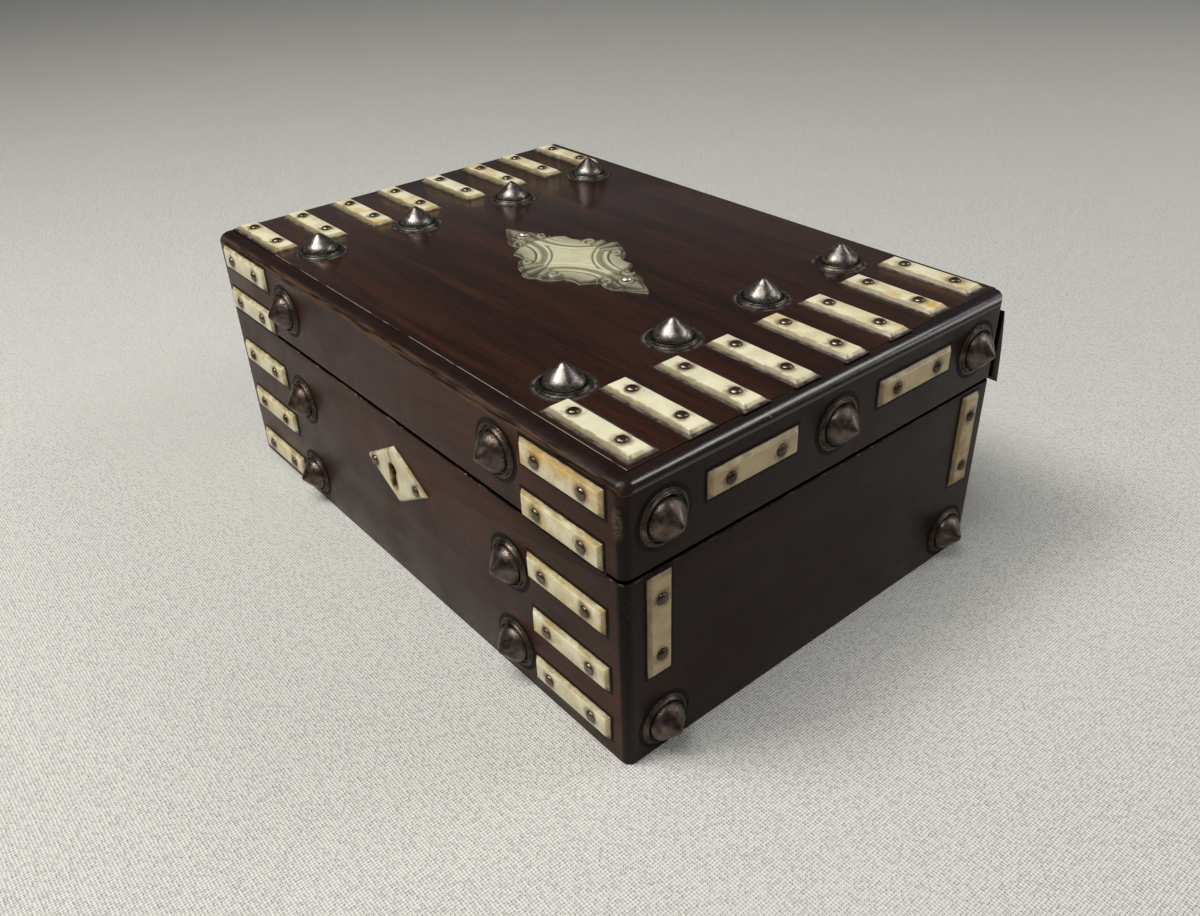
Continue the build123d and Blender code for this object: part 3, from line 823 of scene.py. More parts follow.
def extrude(bm: BMesh, faces: list[BMFace], move: tuple[float, float, float]) -> list[BMVert]:
    """Extrude some faces as one.

    Args:
        bm: The mesh.
        faces: The faces.
        move: How far the new faces move.

    Returns:
        The new faces' vertices.
    """
    pulled = verts_of(bmesh.ops.extrude_face_region(bm, geom=faces)["geom"])
    bmesh.ops.translate(bm, verts=pulled, vec=move)
    return pulled


def close_holes(bm: BMesh) -> None:
    """Close every open edge loop."""
    bmesh.ops.holes_fill(bm, edges=[edge for edge in bm.edges if edge.is_boundary], sides=0)


def slice_off(bm: BMesh, point: Vector, outward: Vector) -> None:
    """Cut away what lies beyond a plane, and close the cut.

    Args:
        bm: The mesh.
        point: A point of the plane.
        outward: The side that is cut away.
    """
    everything = [*bm.verts, *bm.edges, *bm.faces]
    bmesh.ops.bisect_plane(bm, geom=everything, plane_co=point, plane_no=outward, clear_outer=True, dist=1e-7)
    close_holes(bm)


def slice_through(bm: BMesh, point: Vector, normal: Vector) -> None:
    """Add a loop of edges where a plane cuts the mesh."""
    everything = [*bm.verts, *bm.edges, *bm.faces]
    bmesh.ops.bisect_plane(bm, geom=everything, plane_co=point, plane_no=normal, dist=1e-7)


def unevenness(place: Vector, size: float, amount: float) -> Vector:
    """A small shift that varies smoothly from place to place.

    Args:
        place: Where, in metres.
        size: The distance over which it changes, in metres.
        amount: The largest shift, in metres.

    Returns:
        The shift.
    """
    return noise.noise_vector(place / size) * amount


@dataclass
class Carcase:
    """The boards, rails, top, mouldings and stop strip."""

    corner_radius: float = 4.0 * MM
    base_arris: float = 1.0 * MM
    lid_arris: float = 1.1 * MM
    crisp_arris: float = 0.16 * MM
    profile_steps: int = 9
    station: float = 4.0 * MM
    fine_station: float = 0.7 * MM
    nub: float = 0.8
    ledge: float = 0.15 * MM
    wear: float = 0.1 * MM
    wear_length: float = 9 * MM
    wear_fade: float = 1.5 * MM
    patch_inset: float = 2.7 * MM
    patch_height: float = 103.5 * MM
    low: Vector = field(init=False)
    high: Vector = field(init=False)
    inner: Vector = field(init=False)

    def __post_init__(self) -> None:
        """Take the places from the frame."""
        low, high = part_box("lid_top_panel")
        self.low, self.high = low.copy(), high.copy()
        self.low.z = 0.0
        self.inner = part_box("base_left_board")[1]

    def corner_rub(self) -> tuple[Rub, ...]:
        """The worn patch at the front right corner of the lid."""
        patch = (self.high.x - self.patch_inset, self.low.y, self.patch_height)
        return (Rub(patch, (2.9 * MM, 3.0 * MM, 8.0 * MM), 0.9, 0.36, even(1.3)),)

    def front_finish(self) -> PolishedRosewood:
        """The finish of the front and back: browner, and a little duller than the top.

        Returns:
            The finish.
        """
        return PolishedRosewood(
            "polished_rosewood_front", Grain.ALONG_X, "#2e1a12", "#482718", "#5c341f",
            bare="#5b4b3e", roughness=0.3, gloss=0.12, rubs=self.corner_rub(),
        )

    def corner_finish(self) -> PolishedRosewood:
        """The finish of the rounded corners, painted nearly black as the shade where the front turns to the ends.

        Returns:
            The finish.
        """
        return PolishedRosewood(
            "polished_rosewood_corners_painted_shade", Grain.ALONG_Z, "#0b0604", "#130906", "#1a0d09",
            bare="#5b4b3e", roughness=0.24, gloss=0.14, rubs=self.corner_rub(),
        )

    def end_finish(self) -> PolishedRosewood:
        """The finish of the ends: its ground and streaks painted darker than the front's, as the shade the ends stand
        in.

        Returns:
            The finish.
        """
        return PolishedRosewood(
            "polished_rosewood_ends", Grain.ALONG_Y, "#1a0e0a", "#26140e", "#351c13",
            bare="#5b4b3e", roughness=0.28, gloss=0.12, rubs=self.corner_rub(),
        )

    def top_finish(self) -> PolishedRosewood:
        """The finish of the top, where the figure shows best.

        Returns:
            The finish.
        """
        return PolishedRosewood(
            "polished_rosewood_top", Grain.ALONG_X, "#1e0f0a", "#371c12", "#54291a", roughness=0.19, gloss=0.42,
        )

    def moulding_finish(self, side: str) -> PolishedRosewood:
        """The finish of one moulding, rubbed brown in a band along the front.

        Args:
            side: Which moulding.

        Returns:
            The finish.
        """
        low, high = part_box(f"lid_{side}_moulding")
        if side == "front":
            scratched = Grain.ALONG_X.stretch(16, 1.0)
            band = Rub((0.0, low.y, high.z - 2.9 * MM), (400 * MM, 4.0 * MM, 3.2 * MM), 0.85, 0.38, scratched)
            return PolishedRosewood(
                "polished_rosewood_front_moulding", Grain.ALONG_X, "#160c09", "#24140e",
                bare="#573f2c", roughness=0.34, gloss=0.2, rubs=(band,),
            )
        return PolishedRosewood(
            f"polished_rosewood_{side}_moulding", Grain.ALONG_Y, "#170c09", "#21120d", roughness=0.2, gloss=0.75,
        )

    def inside(self, face: BMFace) -> bool:
        """True for a face that the polisher didn't reach.

        Args:
            face: A face of a board.

        Returns:
            True for a face inside the box.
        """
        spare = 0.3 * MM
        wall = self.inner.x - self.low.x
        middle = face.calc_center_median()
        within = abs(middle.x) < self.high.x - wall + spare
        return within and self.low.y + wall - spare < middle.y < self.high.y - wall + spare

    def board(self, node: str, finish: Finish, grain: Grain, levels: tuple[float, ...]) -> None:
        """One board or rail with its long outer edges softened.

        Args:
            node: The CAD node.
            finish: The finish outside.
            grain: The way of its grain.
            levels: Heights of the outer edges that are rounded.
        """
        bm = merged_copy(node)
        edges = [edge for edge in sharp_edges(bm, 40) if self.outer_edge(edge, levels)]
        width = self.lid_arris if node.startswith("lid") else self.base_arris
        rounded = set(soften(bm, edges, width, 4))
        bm.normal_update()
        # 0 is the outside, 1 a worn arris, 2 the inside, 3 an arris painted near black as the shade in the gap between
        # lid and base, 4 a rounded corner painted nearly black as shade
        for face in bm.faces:
            if face in rounded:
                # The lid's downward arris and the base's upward arris are painted near black: painted shade in the gap
                # between lid and base
                painted_shade = face.normal.z < 0 if node.startswith("lid") else face.normal.z > 0.7
                face.material_index = 3 if painted_shade else 1
            elif self.inside(face) or face.normal.z < -0.9 or face.normal.z > 0.9:
                face.material_index = 2
            # The rounded upright corners get the finish painted nearly black as shade
            elif 0.2 < abs(face.normal.x) < 0.97:
                face.material_index = 4
        way = grain.name.lower()
        arris = ArrisWearAndShade(f"rubbed_arris_{way}", grain, "#170c08", "#5b4334", wax_cover=0.64, gloss=0.15)
        # Painted shade: a near-black, dull copy of the arris finish for the gap between lid and base
        painted_shade = ArrisWearAndShade(f"painted_shade_arris_{way}", grain, "#050202", "#100907", wax_cover=0.85, gloss=0.0)
        inner = PlanedWood(f"planed_wood_{way}", grain)
        finish_piece(f"{node}_polished", bm, node, [finish, arris, inner, painted_shade, self.corner_finish()])

    def outer_edge(self, edge: BMEdge, levels: tuple[float, ...]) -> bool:
        """True for an edge on the box's outside at one of the levels.

        Args:
            edge: An edge of a board.
            levels: Heights of the outer edges that are rounded.

        Returns:
            True for an edge that is rounded.
        """
        ends = [vert.co for vert in edge.verts]
        level = any(all(abs(end.z - height) < NEAR for end in ends) for height in levels)
        inset = self.corner_radius * (1 - math.sqrt(0.5)) + NEAR
        outside = all(
            end.x < self.low.x + inset or end.x > self.high.x - inset
            or end.y < self.low.y + inset or end.y > self.high.y - inset
            for end in ends
        )
        return level and outside

    def panel(self) -> None:
        """The lid's top, its edges softened and its front edge lined with wax."""
        node = "lid_top_panel"
        bm = merged_copy(node)
        top = self.high.z
        rim = [edge for edge in sharp_edges(bm, 40) if all(abs(vert.co.z - top) < NEAR for vert in edge.verts)]
        rounded = set(soften(bm, rim, self.crisp_arris, 2))
        bm.normal_update()
        front = self.low.y + 12 * MM
        # 0 is the top, 1 its waxed front arris, 2 the inside, 3 its front and back, 4 its ends
        for face in bm.faces:
            if face in rounded and face.calc_center_median().y < front:
                face.material_index = 1
            elif face.normal.z < -0.5:
                face.material_index = 2
            elif abs(face.normal.y) > 0.5:
                face.material_index = 3
            elif abs(face.normal.x) > 0.5:
                face.material_index = 4
        arris = ArrisWearAndShade("waxed_arris_top", Grain.ALONG_X, wax_cover=0.42, nick=12.0)
        inner = PlanedWood("planed_wood_lid", Grain.ALONG_X)
        finishes = [self.top_finish(), arris, inner, self.front_finish(), self.end_finish()]
        finish_piece("lid_top_panel_polished", bm, node, finishes)

    def moulding_profile(self, bm: BMesh, width: float, height: float, ledge: float) -> BMFace:
        """The moulding's section, standing in the plane across its run.

        Args:
            bm: The mesh that it goes into.
            width: How far it reaches inwards.
            height: How tall it is.
            ledge: The height of the small flat at its foot.

        Returns:
            The section's face, with inwards along X and up along Z.
        """
        angles = [step * math.pi / 2 / self.profile_steps for step in range(self.profile_steps + 1)]
        curve = [(width * (1 - math.cos(t)), ledge + (height - ledge) * math.sin(t)) for t in angles]
        points = [(0.0, 0.0), *curve, (width, 0.0)]
        return bm.faces.new([bm.verts.new((across, 0.0, up)) for across, up in points])

    def moulding(self, side: str) -> None:
        """One length of moulding, mitred at the front corners and a little uneven with wear.

        Args:
            side: Which moulding.
        """
        node = f"lid_{side}_moulding"
        low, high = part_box(node)
        run = high.x - low.x if side == "front" else high.y - low.y
        width = high.y - low.y if side == "front" else high.x - low.x
        bm = bmesh.new()
        section = self.moulding_profile(bm, width, high.z - low.z, self.ledge)
        extrude(bm, [section], (0, run, 0))
        fine = [step * self.fine_station for step in range(1, 11)]
        coarse = [step * self.station for step in range(2, round(run / self.station) - 1)]
        for cut in [*fine, *coarse, *(run - cut for cut in fine)]:
            slice_through(bm, Vector((0, cut, 0)), Vector((0, 1, 0)))
        swapped = Matrix(((0, 1, 0, 0), (1, 0, 0, 0), (0, 0, 1, 0), (0, 0, 0, 1)))
        turns = {
            "front": Matrix.Translation((low.x, low.y, low.z)) @ swapped,
            "left": Matrix.Translation((low.x, low.y, low.z)),
            "right": Matrix.Translation((high.x, low.y, low.z)) @ Matrix.Scale(-1, 4, (1, 0, 0)),
        }
        bmesh.ops.transform(bm, matrix=turns[side], verts=bm.verts)
        for vert in bm.verts:
            shift = unevenness(vert.co, self.wear_length, self.wear)
            fades = min(1.0, (vert.co.z - low.z) / self.wear_fade)
            worn = (0, -abs(shift.y)) if side == "front" else (math.copysign(shift.x, vert.co.x), 0)
            vert.co -= Vector((*worn, abs(shift.z))) * fades
        self.wear_mitres(bm)
        self.trim_moulding(bm, side)
        finish_piece(f"{node}_turned", bm, node, [self.moulding_finish(side)])

    def wear_mitres(self, bm: BMesh) -> None:
        """Round the moulding over at the front corners, where the mitres are worn.

        Args:
            bm: The moulding.
        """
        low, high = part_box("lid_front_moulding")
        side_low, side_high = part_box("lid_left_moulding")
        foot = low.z + self.ledge
        for vert in bm.verts:
            across = (self.high.x - abs(vert.co.x)) / (side_high.x - side_low.x)
            back = (vert.co.y - self.low.y) / (high.y - low.y)
            if across < self.nub and back < self.nub and vert.co.z > foot:
                inward = max(0.0, self.nub - math.hypot(self.nub - across, self.nub - back))
                vert.co.z = min(vert.co.z, foot + (high.z - foot) * math.sqrt(1 - (1 - inward) ** 2))

    def trim_moulding(self, bm: BMesh, side: str) -> None:
        """Cut a moulding's mitres and round the box's corners on it.

        Args:
            bm: The moulding.
            side: Which moulding.
        """
        front_low, front_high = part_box("lid_front_moulding")
        left_low, left_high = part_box("lid_left_moulding")
        depth = front_high.y - front_low.y
        width = left_high.x - left_low.x
        for hand in (-1, 1):
            corner = Vector((hand * self.high.x, self.low.y, 0))
            across = Vector((hand * depth, width, 0)).normalized()
            if side == "front":
                slice_off(bm, corner, across)
            elif hand == (1 if side == "right" else -1):
                slice_off(bm, corner, -across)
            for back in (-1, 1):
                self.round_corner(bm, hand, back)

    def round_corner(self, bm: BMesh, hand: int, back: int) -> None:
        """Plane one upright corner of a piece round.

        Args:
            bm: The piece.
            hand: 1 for the right corner, -1 for the left.
            back: 1 for the back corner, -1 for the front.
        """
        radius = self.corner_radius
        centre = Vector((hand * (self.high.x - radius), 0, 0))
        centre.y = self.high.y - radius if back > 0 else self.low.y + radius
        steps = 8
        for step in range(steps):
            angle = (step + 0.5) * math.pi / 2 / steps
            outward = Vector((hand * math.sin(angle), back * math.cos(angle), 0))
            slice_off(bm, centre + outward * radius, outward)

    def stop_strip(self) -> None:
        """The wedge on the lid's back."""
        node = "lid_stop_strip"
        bm = merged_copy(node)
        soften(bm, sharp_edges(bm, 30), self.crisp_arris, 2)
        finish = PolishedRosewood(
            "polished_rosewood_stop", Grain.ALONG_X, "#0f0806", "#180d09", "#21120c", roughness=0.4, gloss=0.1,
        )
        finish_piece("lid_stop_strip_polished", bm, node, [finish])

    def bottom(self) -> None:
        """The bottom board, planed on both sides."""
        node = "base_bottom_board"
        bm = merged_copy(node)
        finish = PlanedWood("planed_wood_bottom", Grain.ALONG_X, "#3d2418", "#543522")
        finish_piece("base_bottom_board_planed", bm, node, [finish])

    def build(self) -> None:
        """Make all the wooden pieces."""
        for part, kind in (("base", "board"), ("lid", "rail")):
            low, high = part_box(f"{part}_front_{kind}")
            levels = (low.z, high.z) if part == "base" else (low.z,)
            for side in ("front", "back"):
                self.board(f"{part}_{side}_{kind}", self.front_finish(), Grain.ALONG_X, levels)
            for side in ("left", "right"):
                self.board(f"{part}_{side}_{kind}", self.end_finish(), Grain.ALONG_Y, levels)
        self.panel()
        for side in ("front", "left", "right"):
            self.moulding(side)
        self.stop_strip()
        self.bottom()


# Which way the heads of the screws look
SCREWS_FACE = {
    "hinge_screws_base": (0, 0, 1), "hinge_screws_lid": (0, 0, -1),
    "link_plate_screws": (0, 0, -1), "lock_screws": (0, 1, 0),
}


@dataclass(frozen=True)
class Seat:
    """Where one laid piece sits: its middle on the face, and which way it lies."""

    middle: Vector
    along: Vector
    outward: Vector

    def matrix(self) -> Matrix:
        """From the piece's own millimetres to the frame.

        Returns:
            The transform.
        """
        across = self.outward.cross(self.along)
        turn = Matrix((self.along, across, self.outward)).transposed().to_4x4()
        return Matrix.Translation(self.middle) @ turn @ Matrix.Scale(MM, 4)


def solids(node: str) -> list[tuple[Vector, Vector]]:
    """The boxes of the separate solids in a CAD node.

    Args:
        node: The CAD node.

    Returns:
        Lowest and highest corners, sorted by place.
    """
    bm = merged_copy(node)
    left = set(bm.verts)
    found = []
    while left:
        group = {left.pop()}
        edge_of_group = list(group)
        while edge_of_group:
            vert = edge_of_group.pop()
            for edge in vert.link_edges:
                other = edge.other_vert(vert)
                if other in left:
                    left.discard(other)
                    group.add(other)
                    edge_of_group.append(other)
        places = np.array([vert.co[:] for vert in group])
        found.append((Vector(places.min(0)), Vector(places.max(0))))
    bm.free()
    return sorted(found, key=lambda box: tuple(round(value, 4) for value in box[0]))


def seats(node: str) -> list[Seat]:
    """The seats of the pieces in a CAD node.

    Args:
        node: The CAD node.

    Returns:
        One seat for each solid.
    """
    found = []
    for low, high in solids(node):
        size = high - low
        middle = (low + high) / 2
        if node in SCREWS_FACE:
            outward, along = Vector(SCREWS_FACE[node]), Vector((1, 0, 0))
            middle -= outward * abs(size.dot(outward)) / 2
        elif "top" in node or "cartouche" in node:
            outward, along = Vector((0, 0, 1)), Vector((1, 0, 0))
            middle.z = low.z
        elif "front" in node or "escutcheon" in node:
            outward, along = Vector((0, -1, 0)), Vector((1, 0, 0))
            middle.y = high.y
        else:
            hand = math.copysign(1, middle.x)
            outward = Vector((hand, 0, 0))
            along = Vector((0, 0, 1)) if size.z > 1.5 * size.y else Vector((0, hand, 0))
            middle.x = low.x if hand > 0 else high.x
        found.append(Seat(middle, along, outward))
    return found


class LaidPieces:
    """Pieces of one kind, each set in its own seat on the box."""

    def form(self) -> BMesh:
        """One piece in its own millimetres: X along, Y across, and Z away from the face."""
        raise NotImplementedError

    def vary(self, bm: BMesh, verts: list[BMVert], node: str, index: int) -> None:
        """Make one copy differ from the others."""

    def lay(self, name: str, node: str, finishes: list[Finish], sharp: float = 32.0) -> None:
        """Set a copy in every seat of a node.

        Args:
            name: The new piece's name.
            node: The CAD node that it stands for.
            finishes: The finishes in the order of the mesh's material indices.
            sharp: Edges that turn by more than this many degrees stay sharp.
        """
        bm = self.form()
        bmesh.ops.recalc_face_normals(bm, faces=bm.faces)
        laid = bm.verts.layers.float_vector.new("laid")
        bm.verts.layers.float.new("age")
        for vert in bm.verts:
            vert[laid] = vert.co
        pattern = [*bm.verts, *bm.edges, *bm.faces]
        for index, seat in enumerate(seats(node)):
            verts = verts_of(bmesh.ops.duplicate(bm, geom=pattern)["geom"])
            self.vary(bm, verts, node, index)
            bmesh.ops.transform(bm, matrix=seat.matrix(), verts=verts)
        bmesh.ops.delete(bm, geom=verts_of(pattern), context="VERTS")
        finish_piece(name, bm, node, finishes, sharp)


def turned_piece(profile: list[tuple[float, float]], flats: int, closed: bool = False) -> BMesh:
    """Turn a profile about the upright axis.

    Args:
        profile: Radii and heights in millimetres.
        flats: How many steps go round.
        closed: True for a ring, whose profile returns to its start.

    Returns:
        The turned mesh.
    """
    bm = bmesh.new()
    verts = [bm.verts.new((radius, 0, height)) for radius, height in profile]
    pairs = list(zip(verts, verts[1:])) + ([(verts[-1], verts[0])] if closed else [])
    edges = [bm.edges.new(pair) for pair in pairs]
    bmesh.ops.spin(
        bm, geom=[*verts, *edges], cent=(0, 0, 0), axis=(0, 0, 1),
        angle=2 * math.pi, steps=flats, use_merge=True, use_duplicate=False,
    )
    bmesh.ops.remove_doubles(bm, verts=bm.verts, dist=1e-4)
    close_holes(bm)
    return bm


def dress_others(bm: BMesh, first: set[BMVert]) -> None:
    """Give the second finish to the faces that don't lie on the first vertices."""
    for face in bm.faces:
        face.material_index = 0 if first.issuperset(face.verts) else 1


def dent(verts: list[BMVert], seed: Vector, size: float, amount: float) -> None:
    """Knock a small piece a little out of true, and never above its own height.

    Args:
        verts: Its vertices, in millimetres. Those at its foot stay.
        seed: A shift of the pattern, so that two pieces differ.
        size: The distance over which the dents change.
        amount: The largest shift.
    """
    foot = 0.3
    for vert in verts:
        if vert.co.z > foot:
            shift = noise.noise_vector(vert.co / size + seed) * amount
            vert.co += Vector((shift.x, shift.y, -abs(shift.z)))


@dataclass
class BoneStrips(LaidPieces):
    """Bevelled bone strips with a bead round their feet: dried wax on the top, painted shade on the front and ends."""

    stations: int = 9
    softness: float = 0.16
    warp: float = 0.09
    bead: float = 1.3
    bead_height: float = 0.14
    # Yellowing of the left and right ends of the strips at the top's right, from the front to the back
    top_ages: tuple[tuple[float, float], ...] = (
        (0.3, 0.7), (0.0, 0.0), (0.1, 1.2), (0.0, 0.1), (0.1, 0.6), (0.0, 0.1), (0.1, 0.2), (0.6, 0.3),
    )
    oldest: tuple[float, float] = (0.45, 0.6)
    finish: AgedBone = field(init=False)
    dull: AgedBone = field(init=False)
    wax: WaxAndShadeBead = field(init=False)
    size: Vector = field(init=False)

    def __post_init__(self) -> None:
        """Take the strip's size from the frame."""
        low, high = solids("lid_top_strips_left")[0]
        self.size = (high - low) / MM
        pins = seats("lid_top_pins")
        strip = seats("lid_top_strips_left")[0]
        nearest = min(abs((pin.middle - strip.middle).x) for pin in pins if abs((pin.middle - strip.middle).y) < 2 * MM)
        self.finish = AgedBone("aged_bone", nearest / MM)
        # The bone of the strips on the ends: browner and stained, and painted darker as the shade that the ends stand
        # in
        self.dull = AgedBone("dull_bone_painted_shade", nearest / MM, "#bba67b", "#a39472", "#997339", "#7a6238", "#4c3620")
        self.wax = WaxAndShadeBead("dried_wax_strips")

    def form(self) -> BMesh:
        """A strip with its bevels, softened edges and bead.

        Returns:
            A mesh in the piece's own millimetres.
        """
        bm = bmesh.new()
        made = bmesh.ops.create_cube(bm, size=1.0)
        bmesh.ops.scale(bm, vec=self.size, verts=made["verts"])
        bmesh.ops.translate(bm, vec=(0, 0, self.size.z / 2), verts=made["verts"])
        top = [edge for edge in bm.edges if all(vert.co.z > self.size.z / 2 for vert in edge.verts)]
        soften(bm, top, 1.4, 1)
        soften(bm, sharp_edges(bm, 20), self.softness, 2)
        for step in range(1, self.stations):
            x = (step / self.stations - 0.5) * self.size.x
            slice_through(bm, Vector((x, 0, 0)), Vector((1, 0, 0)))
        strip = set(bm.verts)
        skirt = bmesh.ops.create_cube(bm, size=1.0)["verts"]
        wide, deep = (side + 2 * self.bead for side in self.size.xy)
        bmesh.ops.scale(bm, vec=(wide, deep, self.bead_height), verts=skirt)
        bmesh.ops.translate(bm, vec=(0, 0, self.bead_height / 2), verts=skirt)
        crest = [vert for vert in skirt if vert.co.z > self.bead_height / 2]
        bmesh.ops.scale(bm, vec=(self.size.x / wide, self.size.y / deep, 1), verts=crest)
        dress_others(bm, strip)
        return bm

    def vary(self, bm: BMesh, verts: list[BMVert], node: str, index: int) -> None:
        """Warp a strip a little, and yellow it by its own amount.

        Args:
            bm: The mesh that holds the copies.
            verts: The copy's vertices.
            node: The CAD node.
            index: The copy's place in the node.
        """
        age = bm.verts.layers.float["age"]
        seed = Vector((index * 3.7, len(node) * 1.9, (hash_of(node) % 97) * 0.61))
        fresh = 1.0 if "top" in node else 0.9
        near = (0.5 + 0.5 * noise.noise(seed)) * 2.6 - fresh
        far = (0.5 + 0.5 * noise.noise(seed * 1.7 + Vector((5, 1, 9)))) * 2.6 - fresh
        if node == "lid_top_strips_right" and index < len(self.top_ages):
            near, far = self.top_ages[index]
        if node == "lid_top_strips_left" and index == 0:
            near, far = self.oldest
        for vert in verts:
            along = vert.co.x / self.size.x + 0.5
            vert[age] = max(0.0, near * (1 - along) + far * along)
            shift = noise.noise_vector(vert.co / 7 + seed) * self.warp
            vert.co += Vector((shift.x, shift.y, min(0.0, shift.z) if vert.co.z > 0.5 else 0.0))


def hash_of(text: str) -> int:
    """A number that is the same for a name in every run."""
    return sum((place + 1) * ord(letter) for place, letter in enumerate(text))


@dataclass
class Pins(LaidPieces):
    """Small domed pin heads."""

    radius: float = 2.2
    edge: float = 0.18
    height: float = 1.25
    flats: int = 20

    def form(self) -> BMesh:
        """A low dome with a thin upright edge.

        Returns:
            A mesh in the piece's own millimetres.
        """
        steps = 6
        angles = [step * math.pi / 2 / steps for step in range(steps)]
        dome = [(self.radius * math.cos(t), self.edge + (self.height - self.edge) * math.sin(t)) for t in angles]
        return turned_piece([(self.radius, 0.0), *dome, (0.0, self.height)], self.flats)

    def vary(self, bm: BMesh, verts: list[BMVert], node: str, index: int) -> None:
        """Dent each head a little, as the hammer did."""
        dent(verts, Vector((index * 2.3, hash_of(node) % 31, 0)), 1.6, 0.09)


@dataclass
class StudWashers(LaidPieces):
    """Cupped washers: a thin rim, a sloping flange, a bright crest and a groove round the cone."""

    flats: int = 56

    def form(self) -> BMesh:
        """The washer's ring, and a disc round its foot: wax on the top, painted shade on the front and ends.

        Returns:
            A mesh in the piece's own millimetres.
        """
        profile = [
            (5.5, 0.0), (10.2, 0.0), (10.2, 0.32), (10.08, 0.5), (9.85, 0.58), (9.62, 0.52), (9.5, 0.5),
            (9.3, 0.68), (9.05, 1.1), (8.92, 1.42), (8.78, 1.57), (8.6, 1.58), (8.42, 1.46), (8.28, 1.12),
            (8.14, 0.86), (7.95, 0.8), (5.5, 0.8),
        ]
        bm = turned_piece(profile, self.flats, closed=True)
        ring = set(bm.verts)
        foot_ring = turned_piece([(9.6, 0.0), (12.0, 0.0), (11.0, 0.06), (9.9, 0.14), (9.6, 0.14)], self.flats, closed=True)
        mesh = bpy.data.meshes.new("foot_ring")
        foot_ring.to_mesh(mesh)
        foot_ring.free()
        bm.from_mesh(mesh)
        bpy.data.meshes.remove(mesh)
        dress_others(bm, ring)
        return bm

    def vary(self, bm: BMesh, verts: list[BMVert], node: str, index: int) -> None:
        """Bend each rim a little.

        Args:
            bm: The mesh that holds the copies; not used here.
            verts: The copy's vertices.
            node: The CAD node.
            index: The copy's place in the node.
        """
        seed = Vector((index * 1.3, hash_of(node) % 17, 4))
        for vert in verts:
            if vert.co.z > 0.1:
                vert.co.z -= abs(noise.noise(vert.co / 6 + seed)) * 0.1


@dataclass
class StudCones(LaidPieces):
    """Cones that swell at the foot and come to a blunt point."""

    flats: int = 48

    def form(self) -> BMesh:
        """The cone.

        Returns:
            A mesh in the piece's own millimetres.
        """
        profile = [
            (7.55, 0.0), (7.7, 0.12), (7.68, 0.7), (7.52, 1.4), (7.16, 2.15), (6.58, 2.95), (5.85, 3.7),
            (4.98, 4.45), (4.05, 5.2), (3.1, 5.95), (2.2, 6.7), (1.42, 7.34), (0.88, 7.73), (0.4, 7.94), (0.0, 8.0),
        ]
        return turned_piece(profile, self.flats)

    def vary(self, bm: BMesh, verts: list[BMVert], node: str, index: int) -> None:
        """Knock each cone a little out of true."""
        dent(verts, Vector((index * 1.9, hash_of(node) % 23, 7)), 4, 0.06)


@dataclass
class Screws(LaidPieces):
    """Small countersunk screws, turned and slotted by hand."""

    head: float = 1.6
    length: float = 5.5
    slot_half: Vector = field(default_factory=lambda: Vector((1.3, 0.2)))
    slot_depth: float = 0.35
    flats: int = 16

    def form(self) -> BMesh:
        """A screw with its point down and its head up.

        Returns:
            A mesh in the piece's own millimetres.
        """
        shank = [(0.0, 0.0), (0.45, 0.5), (0.75, self.length - 1.2)]
        head = [(self.head, self.length - 0.1), (self.head, self.length), (0.0, self.length)]
        bm = turned_piece([*shank, *head], self.flats)
        for axis, half in enumerate(self.slot_half):
            normal = Vector([float(axis == place) for place in range(3)])
            for hand in (-1, 1):
                slice_through(bm, normal * half * hand, normal)
        slot = [face for face in bm.faces if self.in_slot(face)]
        extrude(bm, slot, (0, 0, -self.slot_depth))
        bmesh.ops.delete(bm, geom=slot, context="FACES")
        return bm

    def in_slot(self, face: BMFace) -> bool:
        """True for a face of the head's top between the slot's sides.

        Args:
            face: A face of the screw.

        Returns:
            True for a face in the slot.
        """
        middle = face.calc_center_median()
        inside = abs(middle.x) < self.slot_half.x and abs(middle.y) < self.slot_half.y
        return inside and middle.z > self.length - 0.01

    def vary(self, bm: BMesh, verts: list[BMVert], node: str, index: int) -> None:
        """Leave each slot at its own angle."""
        angle = 2.4 * index + hash_of(node) % 7
        bmesh.ops.rotate(bm, verts=verts, cent=(0, 0, 0), matrix=Matrix.Rotation(angle, 3, "Z"))


